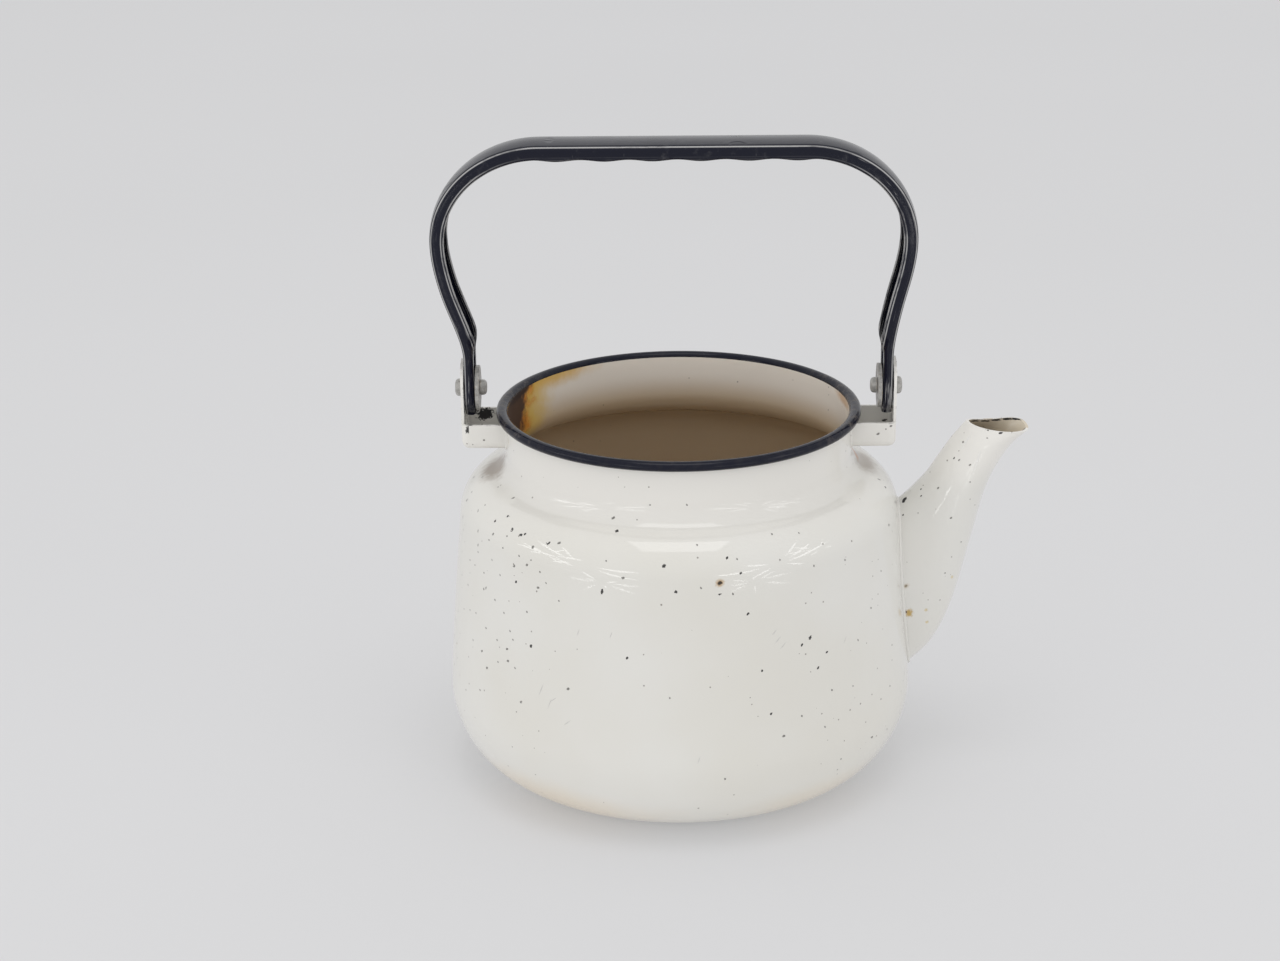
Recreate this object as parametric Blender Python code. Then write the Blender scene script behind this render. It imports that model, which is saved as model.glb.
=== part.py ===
"""An enamelled stovetop kettle: open neck, pressed two-piece spout and a swinging bail handle.

Metres, +Z up. The origin is the middle of the flat base. +X points to the spout.
"""
import math

import bmesh
import bpy
from mathutils import Matrix, Vector

# Clearance between pieces that touch, the overrun of every cut and the merging of a turned shape's seam
GAP = 0.0003
OVERRUN = 0.004
SEAM_MERGE = 0.000003

# Body: a drawn sheet shell, from the neck outwards and from the base upwards
BODY_SHEET = 0.0012
NECK_RADIUS = 0.0708
SHOULDER_OVERHANG = 0.0195
WALL_FLARE = 0.0060
CORNER_WIDTH = 0.0323
CORNER_HEIGHT = 0.0360
WALL_RISE = 0.0760
WALL_DRAFT_POWER = 1.2
SHOULDER_RISE = 0.0180
NECK_HOLLOW = 0.0090
NECK_RISE = 0.0227
BEAD_OVERHANG = 0.0036
BEAD_HALF_HEIGHT = 0.0020
BEAD_START = math.radians(-112)

# Strainer holes behind the spout
STRAINER_HOLE = 0.0050
STRAINER_PITCH = 0.0090
STRAINER_ROWS = (3, 2, 3, 2, 3)

# Spout: its root on the body, its mouth and its beak
SPOUT_SHEET = 0.0012
SPOUT_ROOT_ABOVE_CORNER = 0.0045
SPOUT_ROOT_HALF_WIDTH = 0.0190
SPOUT_ROOT_DEPTH = 0.0080
SPOUT_REACH = 0.0465
BEAK_BELOW_RIM = 0.0096
MOUTH_LENGTH = 0.0246
MOUTH_TILT = 0.0044
MOUTH_HALF_WIDTH = 0.0074

# Ears: open trays with a tall outer tab
EAR_SHEET = 0.0012
EAR_REACH = 0.0174
EAR_DEPTH = 0.0245
EAR_HEIGHT = 0.0105
EAR_BELOW_RIM = 0.0032
EAR_CORNER = 0.0032
TAB_WIDTH = 0.0195
TAB_ABOVE_PIVOT = 0.0120

# Pivot of the handle: rivets and washers
PIVOT_ABOVE_EAR = 0.0125
SHANK_RADIUS = 0.0023
OUTER_HEAD_RADIUS = 0.0036
OUTER_HEAD_HEIGHT = 0.0025
INNER_HEAD_RADIUS = 0.0032
INNER_HEAD_HEIGHT = 0.0026
WASHER_RADIUS = 0.0090
WASHER_THICKNESS = 0.0015

# Handle: a pressed channel, open inwards, its sides folded flat at the ends
HANDLE_SHEET = 0.0010
HANDLE_HALF_WIDTH = 0.0100
HANDLE_CROWN = 0.0005
HANDLE_FOLD_RADIUS = 0.0015
HANDLE_FLANGE = 0.0025
HANDLE_LIP_RADIUS = 0.0008
HANDLE_RISE = 0.1018
HANDLE_BAR_HALF = 0.0530
HANDLE_BULGE = 0.0103
HANDLE_BEND_DROP = 0.0395
HANDLE_FOOT_RISE = 0.0140
HANDLE_LEG_TENSION = 0.0170
HANDLE_FOOT_TENSION = 0.0120
HANDLE_FOLD_LENGTH = 0.0110
HANDLE_END_REACH = 0.0105
HANDLE_LEAN = 0.0016
HANDLE_LIP_TURN = math.radians(150)
FINGER_PITCH = 0.0190
FINGER_DEPTH = 0.0007
FINGER_COUNT = 6

# Radii and heights that follow from the sizes above
SHOULDER_RADIUS = NECK_RADIUS + SHOULDER_OVERHANG
WIDEST_RADIUS = SHOULDER_RADIUS + WALL_FLARE
BASE_RADIUS = WIDEST_RADIUS - CORNER_WIDTH
SHOULDER_HEIGHT = CORNER_HEIGHT + WALL_RISE
RIM_HEIGHT = SHOULDER_HEIGHT + SHOULDER_RISE + NECK_RISE
EAR_OUTER_X = NECK_RADIUS + EAR_REACH
EAR_TOP = RIM_HEIGHT - EAR_BELOW_RIM
EAR_BOTTOM = EAR_TOP - EAR_HEIGHT
PIVOT_HEIGHT = EAR_TOP + PIVOT_ABOVE_EAR
TAB_TOP = PIVOT_HEIGHT + TAB_ABOVE_PIVOT
HANDLE_OUTER_X = EAR_OUTER_X - EAR_SHEET - GAP
HANDLE_END_THICKNESS = 2 * HANDLE_FOLD_RADIUS + HANDLE_SHEET
HANDLE_TOP = PIVOT_HEIGHT + HANDLE_RISE
HANDLE_FOOT = PIVOT_HEIGHT + HANDLE_FOOT_RISE
WASHER_OUTER_X = HANDLE_OUTER_X - HANDLE_END_THICKNESS - GAP
WASHER_INNER_X = WASHER_OUTER_X - WASHER_THICKNESS

# Shares of the spout's span, root to mouth: (along, up) on its two edges, its width, its mouth's point
SPOUT_LOWER_SHARES = (
    (0.0, 0.0), (0.20, 0.095), (0.37, 0.265), (0.53, 0.55), (0.65, 0.765), (0.815, 0.91), (1.0, 1.0),
)
SPOUT_UPPER_SHARES = (
    (0.0, 0.0), (0.14, 0.10), (0.30, 0.235), (0.45, 0.375), (0.60, 0.565), (0.80, 0.81), (1.0, 1.0),
)
SPOUT_WIDTH_SHARES = (1.0, 0.93, 0.82, 0.68, 0.54, 0.30, 0.0)
MOUTH_POINT_SHARE = 0.32

# Steps of the curves, and the angle past which an edge shows as sharp
BODY_SEGMENTS = 56
CORNER_STEPS = 7
WALL_STEPS = 4
SHOULDER_STEPS = 6
HOLLOW_STEPS = 4
BEAD_STEPS = 9
SPOUT_STATIONS = 20
SPOUT_ARC_STEPS = 10
TAB_STEPS = 12
FINGER_STEPS = 6
BEND_STEPS = 10
LEG_STEPS = 10
TAIL_STEPS = 3
END_STEPS = 6
FOLD_STEPS = 2
LIP_STEPS = 2
HEAD_STEPS = 4
RIVET_SEGMENTS = 20
WASHER_SEGMENTS = 36
HOLE_SEGMENTS = 10
EDGE_SEGMENTS = 3
ANGLE_HALVINGS = 40
SMOOTH_ANGLE = math.radians(40)

# Finishes: colour, roughness, metallic
CREAM_ENAMEL = ((0.70, 0.68, 0.61, 1.0), 0.12, 0.0)
BLACK_ENAMEL = ((0.010, 0.011, 0.017, 1.0), 0.18, 0.0)
BARE_STEEL = ((0.42, 0.41, 0.39, 1.0), 0.42, 1.0)


def clear_scene():
    for old in list(bpy.data.objects):
        bpy.data.objects.remove(old, do_unlink=True)


def make_material(name, finish):
    material = bpy.data.materials.new(name)
    material.use_nodes = True
    shader = material.node_tree.nodes["Principled BSDF"]
    for socket, value in zip(("Base Color", "Roughness", "Metallic"), finish):
        shader.inputs[socket].default_value = value
    return material


def add_object(name, bm, material=None):
    """Turn a closed bmesh into a named object with its faces pointing out."""
    bmesh.ops.recalc_face_normals(bm, faces=bm.faces)
    mesh = bpy.data.meshes.new(name)
    bm.to_mesh(mesh)
    bm.free()
    if material is not None:
        mesh.shade_smooth()
        mesh.set_sharp_from_angle(angle=SMOOTH_ANGLE)
        mesh.materials.append(material)
    obj = bpy.data.objects.new(name, mesh)
    bpy.context.scene.collection.objects.link(obj)
    return obj


def add_cutter(name, bm):
    cutter = add_object(name, bm)
    cutter.hide_render = True
    cutter.display_type = "WIRE"
    return cutter


def cut(obj, cutter):
    boolean = obj.modifiers.new(cutter.name, "BOOLEAN")
    boolean.operation = "DIFFERENCE"
    boolean.solver = "EXACT"
    boolean.object = cutter


def box_mesh(low, high):
    bm = bmesh.new()
    bmesh.ops.create_cube(bm, size=1.0)
    centre = (Vector(low) + Vector(high)) / 2
    size = Vector(high) - Vector(low)
    for vert in bm.verts:
        vert.co = Vector((vert.co.x * size.x, vert.co.y * size.y, vert.co.z * size.z)) + centre
    return bm


def side_box(side, inner_x, outer_x, half_depth, bottom, top):
    """A box on the +X or the -X side of the kettle."""
    near, far = sorted((side * inner_x, side * outer_x))
    return box_mesh((near, -half_depth, bottom), (far, half_depth, top))


def round_tray_edges(bm, side, outer_x, bottom, radius):
    """Round the edges round a tray's outer wall and its floor."""
    def on_outer(vert):
        return math.isclose(vert.co.x, side * outer_x, abs_tol=GAP)

    def on_floor(vert):
        return math.isclose(vert.co.z, bottom, abs_tol=GAP)

    def rounded(edge):
        first, second = edge.verts
        direction = (first.co - second.co).normalized()
        if abs(direction.z) > 0.5:
            return on_outer(first)
        if abs(direction.x) > 0.5:
            return on_floor(first)
        return on_outer(first) and on_floor(first)

    edges = [edge for edge in bm.edges if rounded(edge)]
    bmesh.ops.bevel(bm, geom=edges, offset=radius, segments=EDGE_SEGMENTS, profile=0.5, affect="EDGES")
    return bm


def turned_mesh(profile, axis, segments):
    """Spin an outline of (radius, height) points; one that starts off the axis is closed to a ring."""
    bm = bmesh.new()
    if axis == "Z":
        verts = [bm.verts.new((radius, 0, height)) for radius, height in profile]
        axis_vector = Vector((0, 0, 1))
    else:
        verts = [bm.verts.new((height, 0, radius)) for radius, height in profile]
        axis_vector = Vector((1, 0, 0))
    edges = [bm.edges.new(pair) for pair in zip(verts, verts[1:])]
    if profile[0][0] > 0:
        edges.append(bm.edges.new((verts[-1], verts[0])))
    bmesh.ops.spin(
        bm, geom=verts + edges, cent=(0, 0, 0), axis=axis_vector,
        angle=2 * math.pi, steps=segments, use_merge=True,
    )
    bmesh.ops.remove_doubles(bm, verts=bm.verts, dist=SEAM_MERGE)
    return bm


def arc_points(centre, width, height, start, end, steps):
    """Points on an ellipse's arc, in the (radius, height) plane."""
    points = []
    for step in range(steps + 1):
        angle = start + (end - start) * step / steps
        points.append((centre[0] + width * math.cos(angle), centre[1] + height * math.sin(angle)))
    return points


def wall_share(height):
    return (height - CORNER_HEIGHT) / WALL_RISE


def body_wall_radius(height):
    return WIDEST_RADIUS - WALL_FLARE * wall_share(height) ** WALL_DRAFT_POWER


def body_wall_slope(height):
    """How fast the wall draws in with height."""
    return WALL_FLARE / WALL_RISE * WALL_DRAFT_POWER * wall_share(height) ** (WALL_DRAFT_POWER - 1)


def ellipse_place(centre, width, height, angle):
    """A point on an ellipse and the direction square to the ellipse there."""
    point = Vector((centre[0] + width * math.cos(angle), centre[1] + height * math.sin(angle)))
    normal = Vector((math.cos(angle) / width, math.sin(angle) / height)).normalized()
    return point, normal


def corner_places(steps):
    """The rounded bottom corner, from the flat base to the widest place."""
    centre = (BASE_RADIUS, CORNER_HEIGHT)
    angles = [-math.pi / 2 * (1 - step / steps) for step in range(steps + 1)]
    return [ellipse_place(centre, CORNER_WIDTH, CORNER_HEIGHT, angle) for angle in angles]


def wall_places(steps):
    places = []
    for step in range(1, steps):
        height = CORNER_HEIGHT + WALL_RISE * step / steps
        normal = Vector((1, body_wall_slope(height))).normalized()
        places.append((Vector((body_wall_radius(height), height)), normal))
    return places


def shoulder_ellipse():
    """Centre, size and first angle of the shoulder's curve, which carries the wall on."""
    start = math.atan(body_wall_slope(SHOULDER_HEIGHT) * SHOULDER_RISE / SHOULDER_OVERHANG)
    across = SHOULDER_RADIUS - SHOULDER_OVERHANG * math.cos(start)
    up = SHOULDER_HEIGHT - SHOULDER_RISE * math.sin(start)
    return (across, up), SHOULDER_OVERHANG, SHOULDER_RISE, start


def fillet_angle():
    """Where on the shoulder's curve the hollow to the neck begins, found by halving."""
    centre, width, rise, low = shoulder_ellipse()
    high = math.pi / 2
    for _ in range(ANGLE_HALVINGS):
        angle = (low + high) / 2
        point, normal = ellipse_place(centre, width, rise, angle)
        if point.x + NECK_HOLLOW * normal.x > NECK_RADIUS + NECK_HOLLOW:
            low = angle
        else:
            high = angle
    return low


def shoulder_places(steps, hollow_steps):
    """The shoulder's curve and the hollow that joins it to the upright neck."""
    centre, width, rise, start = shoulder_ellipse()
    end = fillet_angle()
    angles = [start + (end - start) * step / steps for step in range(steps + 1)]
    places = [ellipse_place(centre, width, rise, angle) for angle in angles]
    last_point, last_normal = places[-1]
    hollow_centre = last_point + last_normal * NECK_HOLLOW
    first = math.atan2(last_normal.y, last_normal.x)
    for step in range(1, hollow_steps + 1):
        angle = first * (1 - step / hollow_steps)
        normal = Vector((math.cos(angle), math.sin(angle)))
        places.append((hollow_centre - normal * NECK_HOLLOW, normal))
    return places


def body_outside(outset=0):
    """The shell's line from the base's edge to the neck, moved out by a distance."""
    places = corner_places(CORNER_STEPS) + wall_places(WALL_STEPS)
    places += shoulder_places(SHOULDER_STEPS, HOLLOW_STEPS)
    moved = [point + normal * outset for point, normal in places]
    return [(point.x, point.y) for point in moved]


def body_profile():
    """The whole section of the shell: outside, rolled rim, then inside back to the axis."""
    outside = body_outside()
    inside = body_outside(-BODY_SHEET)
    bead_inner = NECK_RADIUS - BODY_SHEET
    bead_outer = NECK_RADIUS + BEAD_OVERHANG
    bead_half = (bead_outer - bead_inner) / 2
    centre = (bead_inner + bead_half, RIM_HEIGHT)
    bead = arc_points(centre, bead_half, BEAD_HALF_HEIGHT, BEAD_START, math.pi, BEAD_STEPS)
    start = (NECK_RADIUS, bead[0][1])
    return [(0, 0)] + outside + [start] + bead[1:] + inside[::-1] + [(0, BODY_SHEET)]


def make_strainer_cutter():
    bm = bmesh.new()
    rows = len(STRAINER_ROWS)
    middle = (spout_root_low() + SHOULDER_HEIGHT) / 2
    turn = Matrix.Rotation(math.pi / 2, 4, "Y")
    radius = STRAINER_HOLE / 2
    for row, count in enumerate(STRAINER_ROWS):
        height = middle + (row - (rows - 1) / 2) * STRAINER_PITCH
        for place in range(count):
            across = (place - (count - 1) / 2) * STRAINER_PITCH
            bmesh.ops.create_cone(
                bm, cap_ends=True, segments=HOLE_SEGMENTS, radius1=radius, radius2=radius, depth=2 * OVERRUN,
                matrix=Matrix.Translation((body_wall_radius(height), across, height)) @ turn,
            )
    return add_cutter("strainer_cutter", bm)


def make_body(cream, black):
    bm = turned_mesh(body_profile(), "Z", BODY_SEGMENTS)
    body = add_object("body_shell", bm, cream)
    body.data.materials.append(black)
    bead_bottom = RIM_HEIGHT - BEAD_HALF_HEIGHT
    for face in body.data.polygons:
        if face.center.z > bead_bottom:
            face.material_index = 1
    cut(body, make_strainer_cutter())
    return body


def smooth_through(points, share):
    """A point on the Catmull-Rom curve through evenly timed points."""
    spans = len(points) - 1
    position = min(share, 1.0) * spans
    span = min(int(position), spans - 1)
    local = position - span
    before = points[max(span - 1, 0)]
    first = points[span]
    second = points[span + 1]
    after = points[min(span + 2, spans)]
    result = []
    for p0, p1, p2, p3 in zip(before, first, second, after):
        value = 2 * p1 + (p2 - p0) * local
        value += (2 * p0 - 5 * p1 + 4 * p2 - p3) * local ** 2
        value += (3 * p1 - p0 - 3 * p2 + p3) * local ** 3
        result.append(value / 2)
    return result


def spout_root_low():
    return CORNER_HEIGHT + SPOUT_ROOT_ABOVE_CORNER


def spout_edge(shares, start, end, share):
    along, up = smooth_through(shares, share)
    return Vector((
        start[0] + (end[0] - start[0]) * along,
        0,
        start[1] + (end[1] - start[1]) * up,
    ))


def spout_section(share, side, inset):
    """One half of the spout's section, lower edge to upper edge, moved in by the sheet."""
    low_start = (body_wall_radius(spout_root_low()), spout_root_low())
    high_start = (SHOULDER_RADIUS, SHOULDER_HEIGHT)
    beak = (low_start[0] + SPOUT_REACH, RIM_HEIGHT - BEAK_BELOW_RIM)
    mouth_back = (beak[0] - MOUTH_LENGTH, beak[1] + MOUTH_TILT)
    lower = spout_edge(SPOUT_LOWER_SHARES, low_start, beak, share)
    upper = spout_edge(SPOUT_UPPER_SHARES, high_start, mouth_back, share)
    widths = [(value,) for value in SPOUT_WIDTH_SHARES]
    width_share = smooth_through(widths, share)[0]
    half_width = MOUTH_HALF_WIDTH + (SPOUT_ROOT_HALF_WIDTH - MOUTH_HALF_WIDTH) * width_share
    centre = (lower + upper) / 2
    half_span = (upper - lower) / 2
    length = half_span.length
    half_span = half_span * ((length - inset) / length)
    roundness = 0.5 + MOUTH_POINT_SHARE * share ** 3
    points = []
    for step in range(SPOUT_ARC_STEPS + 1):
        angle = math.pi * (step / SPOUT_ARC_STEPS - 0.5)
        bulge = max(0.0, 1 - math.sin(angle) ** 2) ** roundness
        across = GAP / 2 + (half_width - inset) * bulge
        points.append(centre + half_span * math.sin(angle) + Vector((0, side * across, 0)))
    return points


def spout_root_section(side, inset):
    """The first section pushed back into the body, so that the wall can trim it."""
    back = Vector((-SPOUT_ROOT_DEPTH, 0, 0))
    return [point + back for point in spout_section(0, side, inset)]


def sheet_mesh(stations):
    """A bent sheet: each station holds its outer and its inner line, point for point."""
    bm = bmesh.new()
    rings = []
    for outer, inner in stations:
        rings.append([bm.verts.new(point) for point in outer + inner[::-1]])
    count = len(rings[0])
    for first, second in zip(rings, rings[1:]):
        for index in range(count):
            after = (index + 1) % count
            bm.faces.new((first[index], first[after], second[after], second[index]))
    for ring in (rings[0], rings[-1]):
        for index in range(count // 2 - 1):
            bm.faces.new((ring[index], ring[index + 1], ring[-index - 2], ring[-index - 1]))
    return bm


def make_wall_cutter():
    """The body's outside with its clearance, as one solid."""
    outline = body_outside(GAP)
    profile = [(0, outline[0][1])] + outline + [(0, outline[-1][1])]
    return add_cutter("spout_root_cutter", turned_mesh(profile, "Z", BODY_SEGMENTS))


def make_spout_half(name, side, cutter, material):
    stations = [(spout_root_section(side, 0), spout_root_section(side, SPOUT_SHEET))]
    for step in range(SPOUT_STATIONS + 1):
        share = step / SPOUT_STATIONS
        stations.append((spout_section(share, side, 0), spout_section(share, side, SPOUT_SHEET)))
    half = add_object(name, sheet_mesh(stations), material)
    cut(half, cutter)
    return half


def tab_outline_mesh(side):
    """What is cut away round the rounded tab: a plate with a tab-shaped bite."""
    half = TAB_WIDTH / 2
    outer_half = EAR_DEPTH / 2 + OVERRUN
    above = TAB_TOP + OVERRUN
    outline = [(half, EAR_TOP), (outer_half, EAR_TOP), (outer_half, above)]
    outline += [(-outer_half, above), (-outer_half, EAR_TOP), (-half, EAR_TOP)]
    for step in range(TAB_STEPS + 1):
        angle = math.pi * (1 - step / TAB_STEPS)
        outline.append((half * math.cos(angle), TAB_TOP - half + half * math.sin(angle)))
    bm = bmesh.new()
    start_x = side * (EAR_OUTER_X - EAR_SHEET - OVERRUN)
    face = bm.faces.new([bm.verts.new((start_x, across, up)) for across, up in outline])
    grown = bmesh.ops.extrude_face_region(bm, geom=[face])
    moved = [item for item in grown["geom"] if isinstance(item, bmesh.types.BMVert)]
    bmesh.ops.translate(bm, verts=moved, vec=(side * (EAR_SHEET + 2 * OVERRUN), 0, 0))
    return bm


def turned_cutter(name, radius, low, high, axis, segments):
    profile = [(0, low), (radius, low), (radius, high), (0, high)]
    return add_cutter(name, turned_mesh(profile, axis, segments))


def make_ear(name, side, material):
    """A pressed tray, open at the top and at the neck, whose outer wall rises as the tab."""
    half = EAR_DEPTH / 2
    inner_x = NECK_RADIUS - OVERRUN
    tab_inner_x = EAR_OUTER_X - EAR_SHEET
    block = side_box(side, inner_x, EAR_OUTER_X, half, EAR_BOTTOM, TAB_TOP)
    round_tray_edges(block, side, EAR_OUTER_X, EAR_BOTTOM, EAR_CORNER)
    ear = add_object(name, block, material)
    floor = EAR_BOTTOM + EAR_SHEET
    cavity = side_box(side, inner_x - OVERRUN, tab_inner_x, half - EAR_SHEET, floor, TAB_TOP + OVERRUN)
    round_tray_edges(cavity, side, tab_inner_x, floor, EAR_CORNER - EAR_SHEET)
    cut(ear, add_cutter(name + "_cavity_cutter", cavity))
    above = side_box(side, inner_x - OVERRUN, tab_inner_x, half + OVERRUN, EAR_TOP, TAB_TOP + OVERRUN)
    cut(ear, add_cutter(name + "_top_cutter", above))
    cut(ear, add_cutter(name + "_tab_cutter", tab_outline_mesh(side)))
    low, high = EAR_BOTTOM - OVERRUN, EAR_TOP + OVERRUN
    cut(ear, turned_cutter(name + "_neck_cutter", NECK_RADIUS + GAP, low, high, "Z", BODY_SEGMENTS))
    return ear


def make_pivot_cutter():
    """One long pin that cuts the rivet holes of both ears and both handle ends."""
    reach = EAR_OUTER_X + OVERRUN
    hole = turned_cutter("pivot_cutter", SHANK_RADIUS + GAP, -reach, reach, "X", RIVET_SEGMENTS)
    hole.data.transform(Matrix.Translation((0, 0, PIVOT_HEIGHT)))
    return hole


def bezier_point(points, share):
    a, b, c, d = points
    rest = 1 - share
    return a * rest ** 3 + b * 3 * rest ** 2 * share + c * 3 * rest * share ** 2 + d * share ** 3


def handle_half_path():
    """The outer face's line from the middle of the bar down to one end, in the XZ plane."""
    points = []
    bar_steps = round(HANDLE_BAR_HALF / (FINGER_PITCH / FINGER_STEPS))
    for step in range(bar_steps + 1):
        points.append(Vector((HANDLE_BAR_HALF * step / bar_steps, 0, HANDLE_TOP)))
    bend_low = HANDLE_TOP - HANDLE_BEND_DROP
    widest = HANDLE_OUTER_X + HANDLE_BULGE
    for step in range(1, BEND_STEPS + 1):
        angle = math.pi / 2 * (1 - step / BEND_STEPS)
        across = HANDLE_BAR_HALF + (widest - HANDLE_BAR_HALF) * math.cos(angle)
        points.append(Vector((across, 0, bend_low + HANDLE_BEND_DROP * math.sin(angle))))
    leg = (
        Vector((widest, 0, bend_low)),
        Vector((widest, 0, bend_low - HANDLE_LEG_TENSION)),
        Vector((HANDLE_OUTER_X, 0, HANDLE_FOOT + HANDLE_FOOT_TENSION)),
        Vector((HANDLE_OUTER_X, 0, HANDLE_FOOT)),
    )
    for step in range(1, LEG_STEPS + 1):
        points.append(bezier_point(leg, step / LEG_STEPS))
    for step in range(1, TAIL_STEPS + 1):
        points.append(Vector((HANDLE_OUTER_X, 0, HANDLE_FOOT - HANDLE_FOOT_RISE * step / TAIL_STEPS)))
    for step in range(1, END_STEPS + 1):
        drop = HANDLE_END_REACH * math.sin(math.pi / 2 * step / END_STEPS)
        points.append(Vector((HANDLE_OUTER_X, 0, PIVOT_HEIGHT - drop)))
    return points


def handle_path():
    """The whole line, end to end, its bar standing a little towards the rear ear."""
    half = handle_half_path()
    mirrored = [Vector((-point.x, 0, point.z)) for point in half[:0:-1]]
    lean_height = HANDLE_LEG_TENSION + HANDLE_FOOT_TENSION
    path = []
    for point in mirrored + half:
        lean = HANDLE_LEAN * ease((point.z - HANDLE_FOOT) / lean_height)
        path.append(point - Vector((lean, 0, 0)))
    return path


def ease(value):
    value = max(0.0, min(1.0, value))
    return value * value * (3 - 2 * value)


def handle_fold_share(point):
    """0 on the open channel, 1 where its sides are folded flat at the ends."""
    return ease((HANDLE_FOOT + HANDLE_FOLD_LENGTH - point.z) / HANDLE_FOLD_LENGTH)


def handle_half_width(point):
    below = max(0.0, PIVOT_HEIGHT - point.z)
    share = min(1.0, below / HANDLE_END_REACH)
    least = HANDLE_FOLD_RADIUS + HANDLE_SHEET / 2 + HANDLE_FLANGE
    return max(least, HANDLE_HALF_WIDTH * math.sqrt(max(0.0, 1 - share ** 2)))


def finger_wave(point):
    """How far the grip's lower edges stand proud at a place along the bar."""
    half_length = FINGER_PITCH * FINGER_COUNT / 2
    if abs(point.x) > half_length:
        return 0.0
    return FINGER_DEPTH * (1 - math.cos(2 * math.pi * (point.x + half_length) / FINGER_PITCH)) / 2


def handle_section(point):
    """Half of the channel's middle line: (across, outward, direction angle) from web to lip."""
    folded = handle_fold_share(point)
    fold_angle = math.pi / 2 * (1 + folded)
    surface = -HANDLE_SHEET / 2
    corner = handle_half_width(point) - HANDLE_SHEET / 2 - HANDLE_FOLD_RADIUS
    line = [(0, surface + HANDLE_CROWN * (1 - folded), 0), (corner, surface, 0)]
    for step in range(1, FOLD_STEPS + 1):
        angle = fold_angle * step / FOLD_STEPS
        across = corner + HANDLE_FOLD_RADIUS * math.sin(angle)
        line.append((across, surface - HANDLE_FOLD_RADIUS * (1 - math.cos(angle)), angle))
    flange = min(HANDLE_FLANGE + finger_wave(point), corner - HANDLE_SHEET)
    lip_across = line[-1][0] + flange * math.cos(fold_angle)
    lip_outward = line[-1][1] - flange * math.sin(fold_angle)
    line.append((lip_across, lip_outward, fold_angle))
    for step in range(1, LIP_STEPS + 1):
        turn = HANDLE_LIP_TURN * (1 - folded) * step / LIP_STEPS
        heading = fold_angle + turn / 2
        reach = 2 * HANDLE_LIP_RADIUS * math.sin(turn / 2) + GAP * folded * step
        line.append((
            lip_across + reach * math.cos(heading),
            lip_outward - reach * math.sin(heading),
            fold_angle + turn,
        ))
    return line


def handle_station(path, index):
    point = path[index]
    before = path[max(index - 1, 0)]
    after = path[min(index + 1, len(path) - 1)]
    tangent = (after - before).normalized()
    outward_axis = Vector((-tangent.z, 0, tangent.x))
    outer = []
    inner = []
    half = handle_section(point)
    full = [(-across, outward, -angle) for across, outward, angle in half[:0:-1]] + half
    for across, outward, angle in full:
        middle = point + outward_axis * outward + Vector((0, across, 0))
        normal = outward_axis * math.cos(angle) + Vector((0, math.sin(angle), 0))
        outer.append(middle + normal * (HANDLE_SHEET / 2))
        inner.append(middle - normal * (HANDLE_SHEET / 2))
    return outer, inner


def make_handle(material, pivot_cutter):
    path = handle_path()
    stations = [handle_station(path, index) for index in range(len(path))]
    handle = add_object("bail_handle", sheet_mesh(stations), material)
    handle.data.transform(Matrix.Translation((0, 0, -PIVOT_HEIGHT)))
    handle.location = (0, 0, PIVOT_HEIGHT)
    cut(handle, pivot_cutter)
    return handle


def make_washer(name, side, material):
    hole = SHANK_RADIUS + GAP
    profile = [
        (hole, side * WASHER_INNER_X), (WASHER_RADIUS, side * WASHER_INNER_X),
        (WASHER_RADIUS, side * WASHER_OUTER_X), (hole, side * WASHER_OUTER_X),
    ]
    washer = add_object(name, turned_mesh(profile, "X", WASHER_SEGMENTS), material)
    washer.data.transform(Matrix.Translation((0, 0, PIVOT_HEIGHT)))
    return washer


def dome_points(radius, rise, face_x):
    """A rivet head's rounded outline from its flat face to its crown on the axis."""
    points = []
    for step in range(HEAD_STEPS):
        angle = math.pi / 2 * step / HEAD_STEPS
        points.append((radius * math.cos(angle), face_x + rise * math.sin(angle)))
    return points + [(0, face_x + rise)]


def make_rivet(name, side, material):
    outer_face = EAR_OUTER_X + GAP
    inner_face = WASHER_INNER_X - GAP
    outer_head = dome_points(OUTER_HEAD_RADIUS, OUTER_HEAD_HEIGHT, outer_face)
    inner_head = dome_points(INNER_HEAD_RADIUS, -INNER_HEAD_HEIGHT, inner_face)
    shank = [(SHANK_RADIUS, inner_face), (SHANK_RADIUS, outer_face)]
    profile = [(radius, side * along) for radius, along in inner_head[::-1] + shank + outer_head]
    rivet = add_object(name, turned_mesh(profile, "X", RIVET_SEGMENTS), material)
    rivet.data.transform(Matrix.Translation((0, 0, PIVOT_HEIGHT)))
    return rivet


def build_kettle():
    clear_scene()
    cream = make_material("cream_enamel", CREAM_ENAMEL)
    black = make_material("black_enamel", BLACK_ENAMEL)
    steel = make_material("bare_steel", BARE_STEEL)
    make_body(cream, black)
    wall_cutter = make_wall_cutter()
    make_spout_half("spout_near_half", -1, wall_cutter, cream)
    make_spout_half("spout_far_half", 1, wall_cutter, cream)
    pivot_cutter = make_pivot_cutter()
    for name, side in (("rear", -1), ("front", 1)):
        cut(make_ear("ear_" + name, side, cream), pivot_cutter)
        make_washer("washer_" + name, side, steel)
        make_rivet("rivet_" + name, side, steel)
    make_handle(black, pivot_cutter)


build_kettle()
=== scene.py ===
"""Looks of an enamelled stovetop kettle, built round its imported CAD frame. Metres, +Z up, +X to the spout."""
import functools
import math
import random

import bmesh
import bpy
import numpy as np
from bpy.props import FloatProperty, FloatVectorProperty, IntProperty, PointerProperty
from bpy.types import Operator, Panel, PropertyGroup
from mathutils import Matrix, Vector, geometry
from mathutils.bvhtree import BVHTree
from mathutils.interpolate import poly_3d_calc


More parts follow.
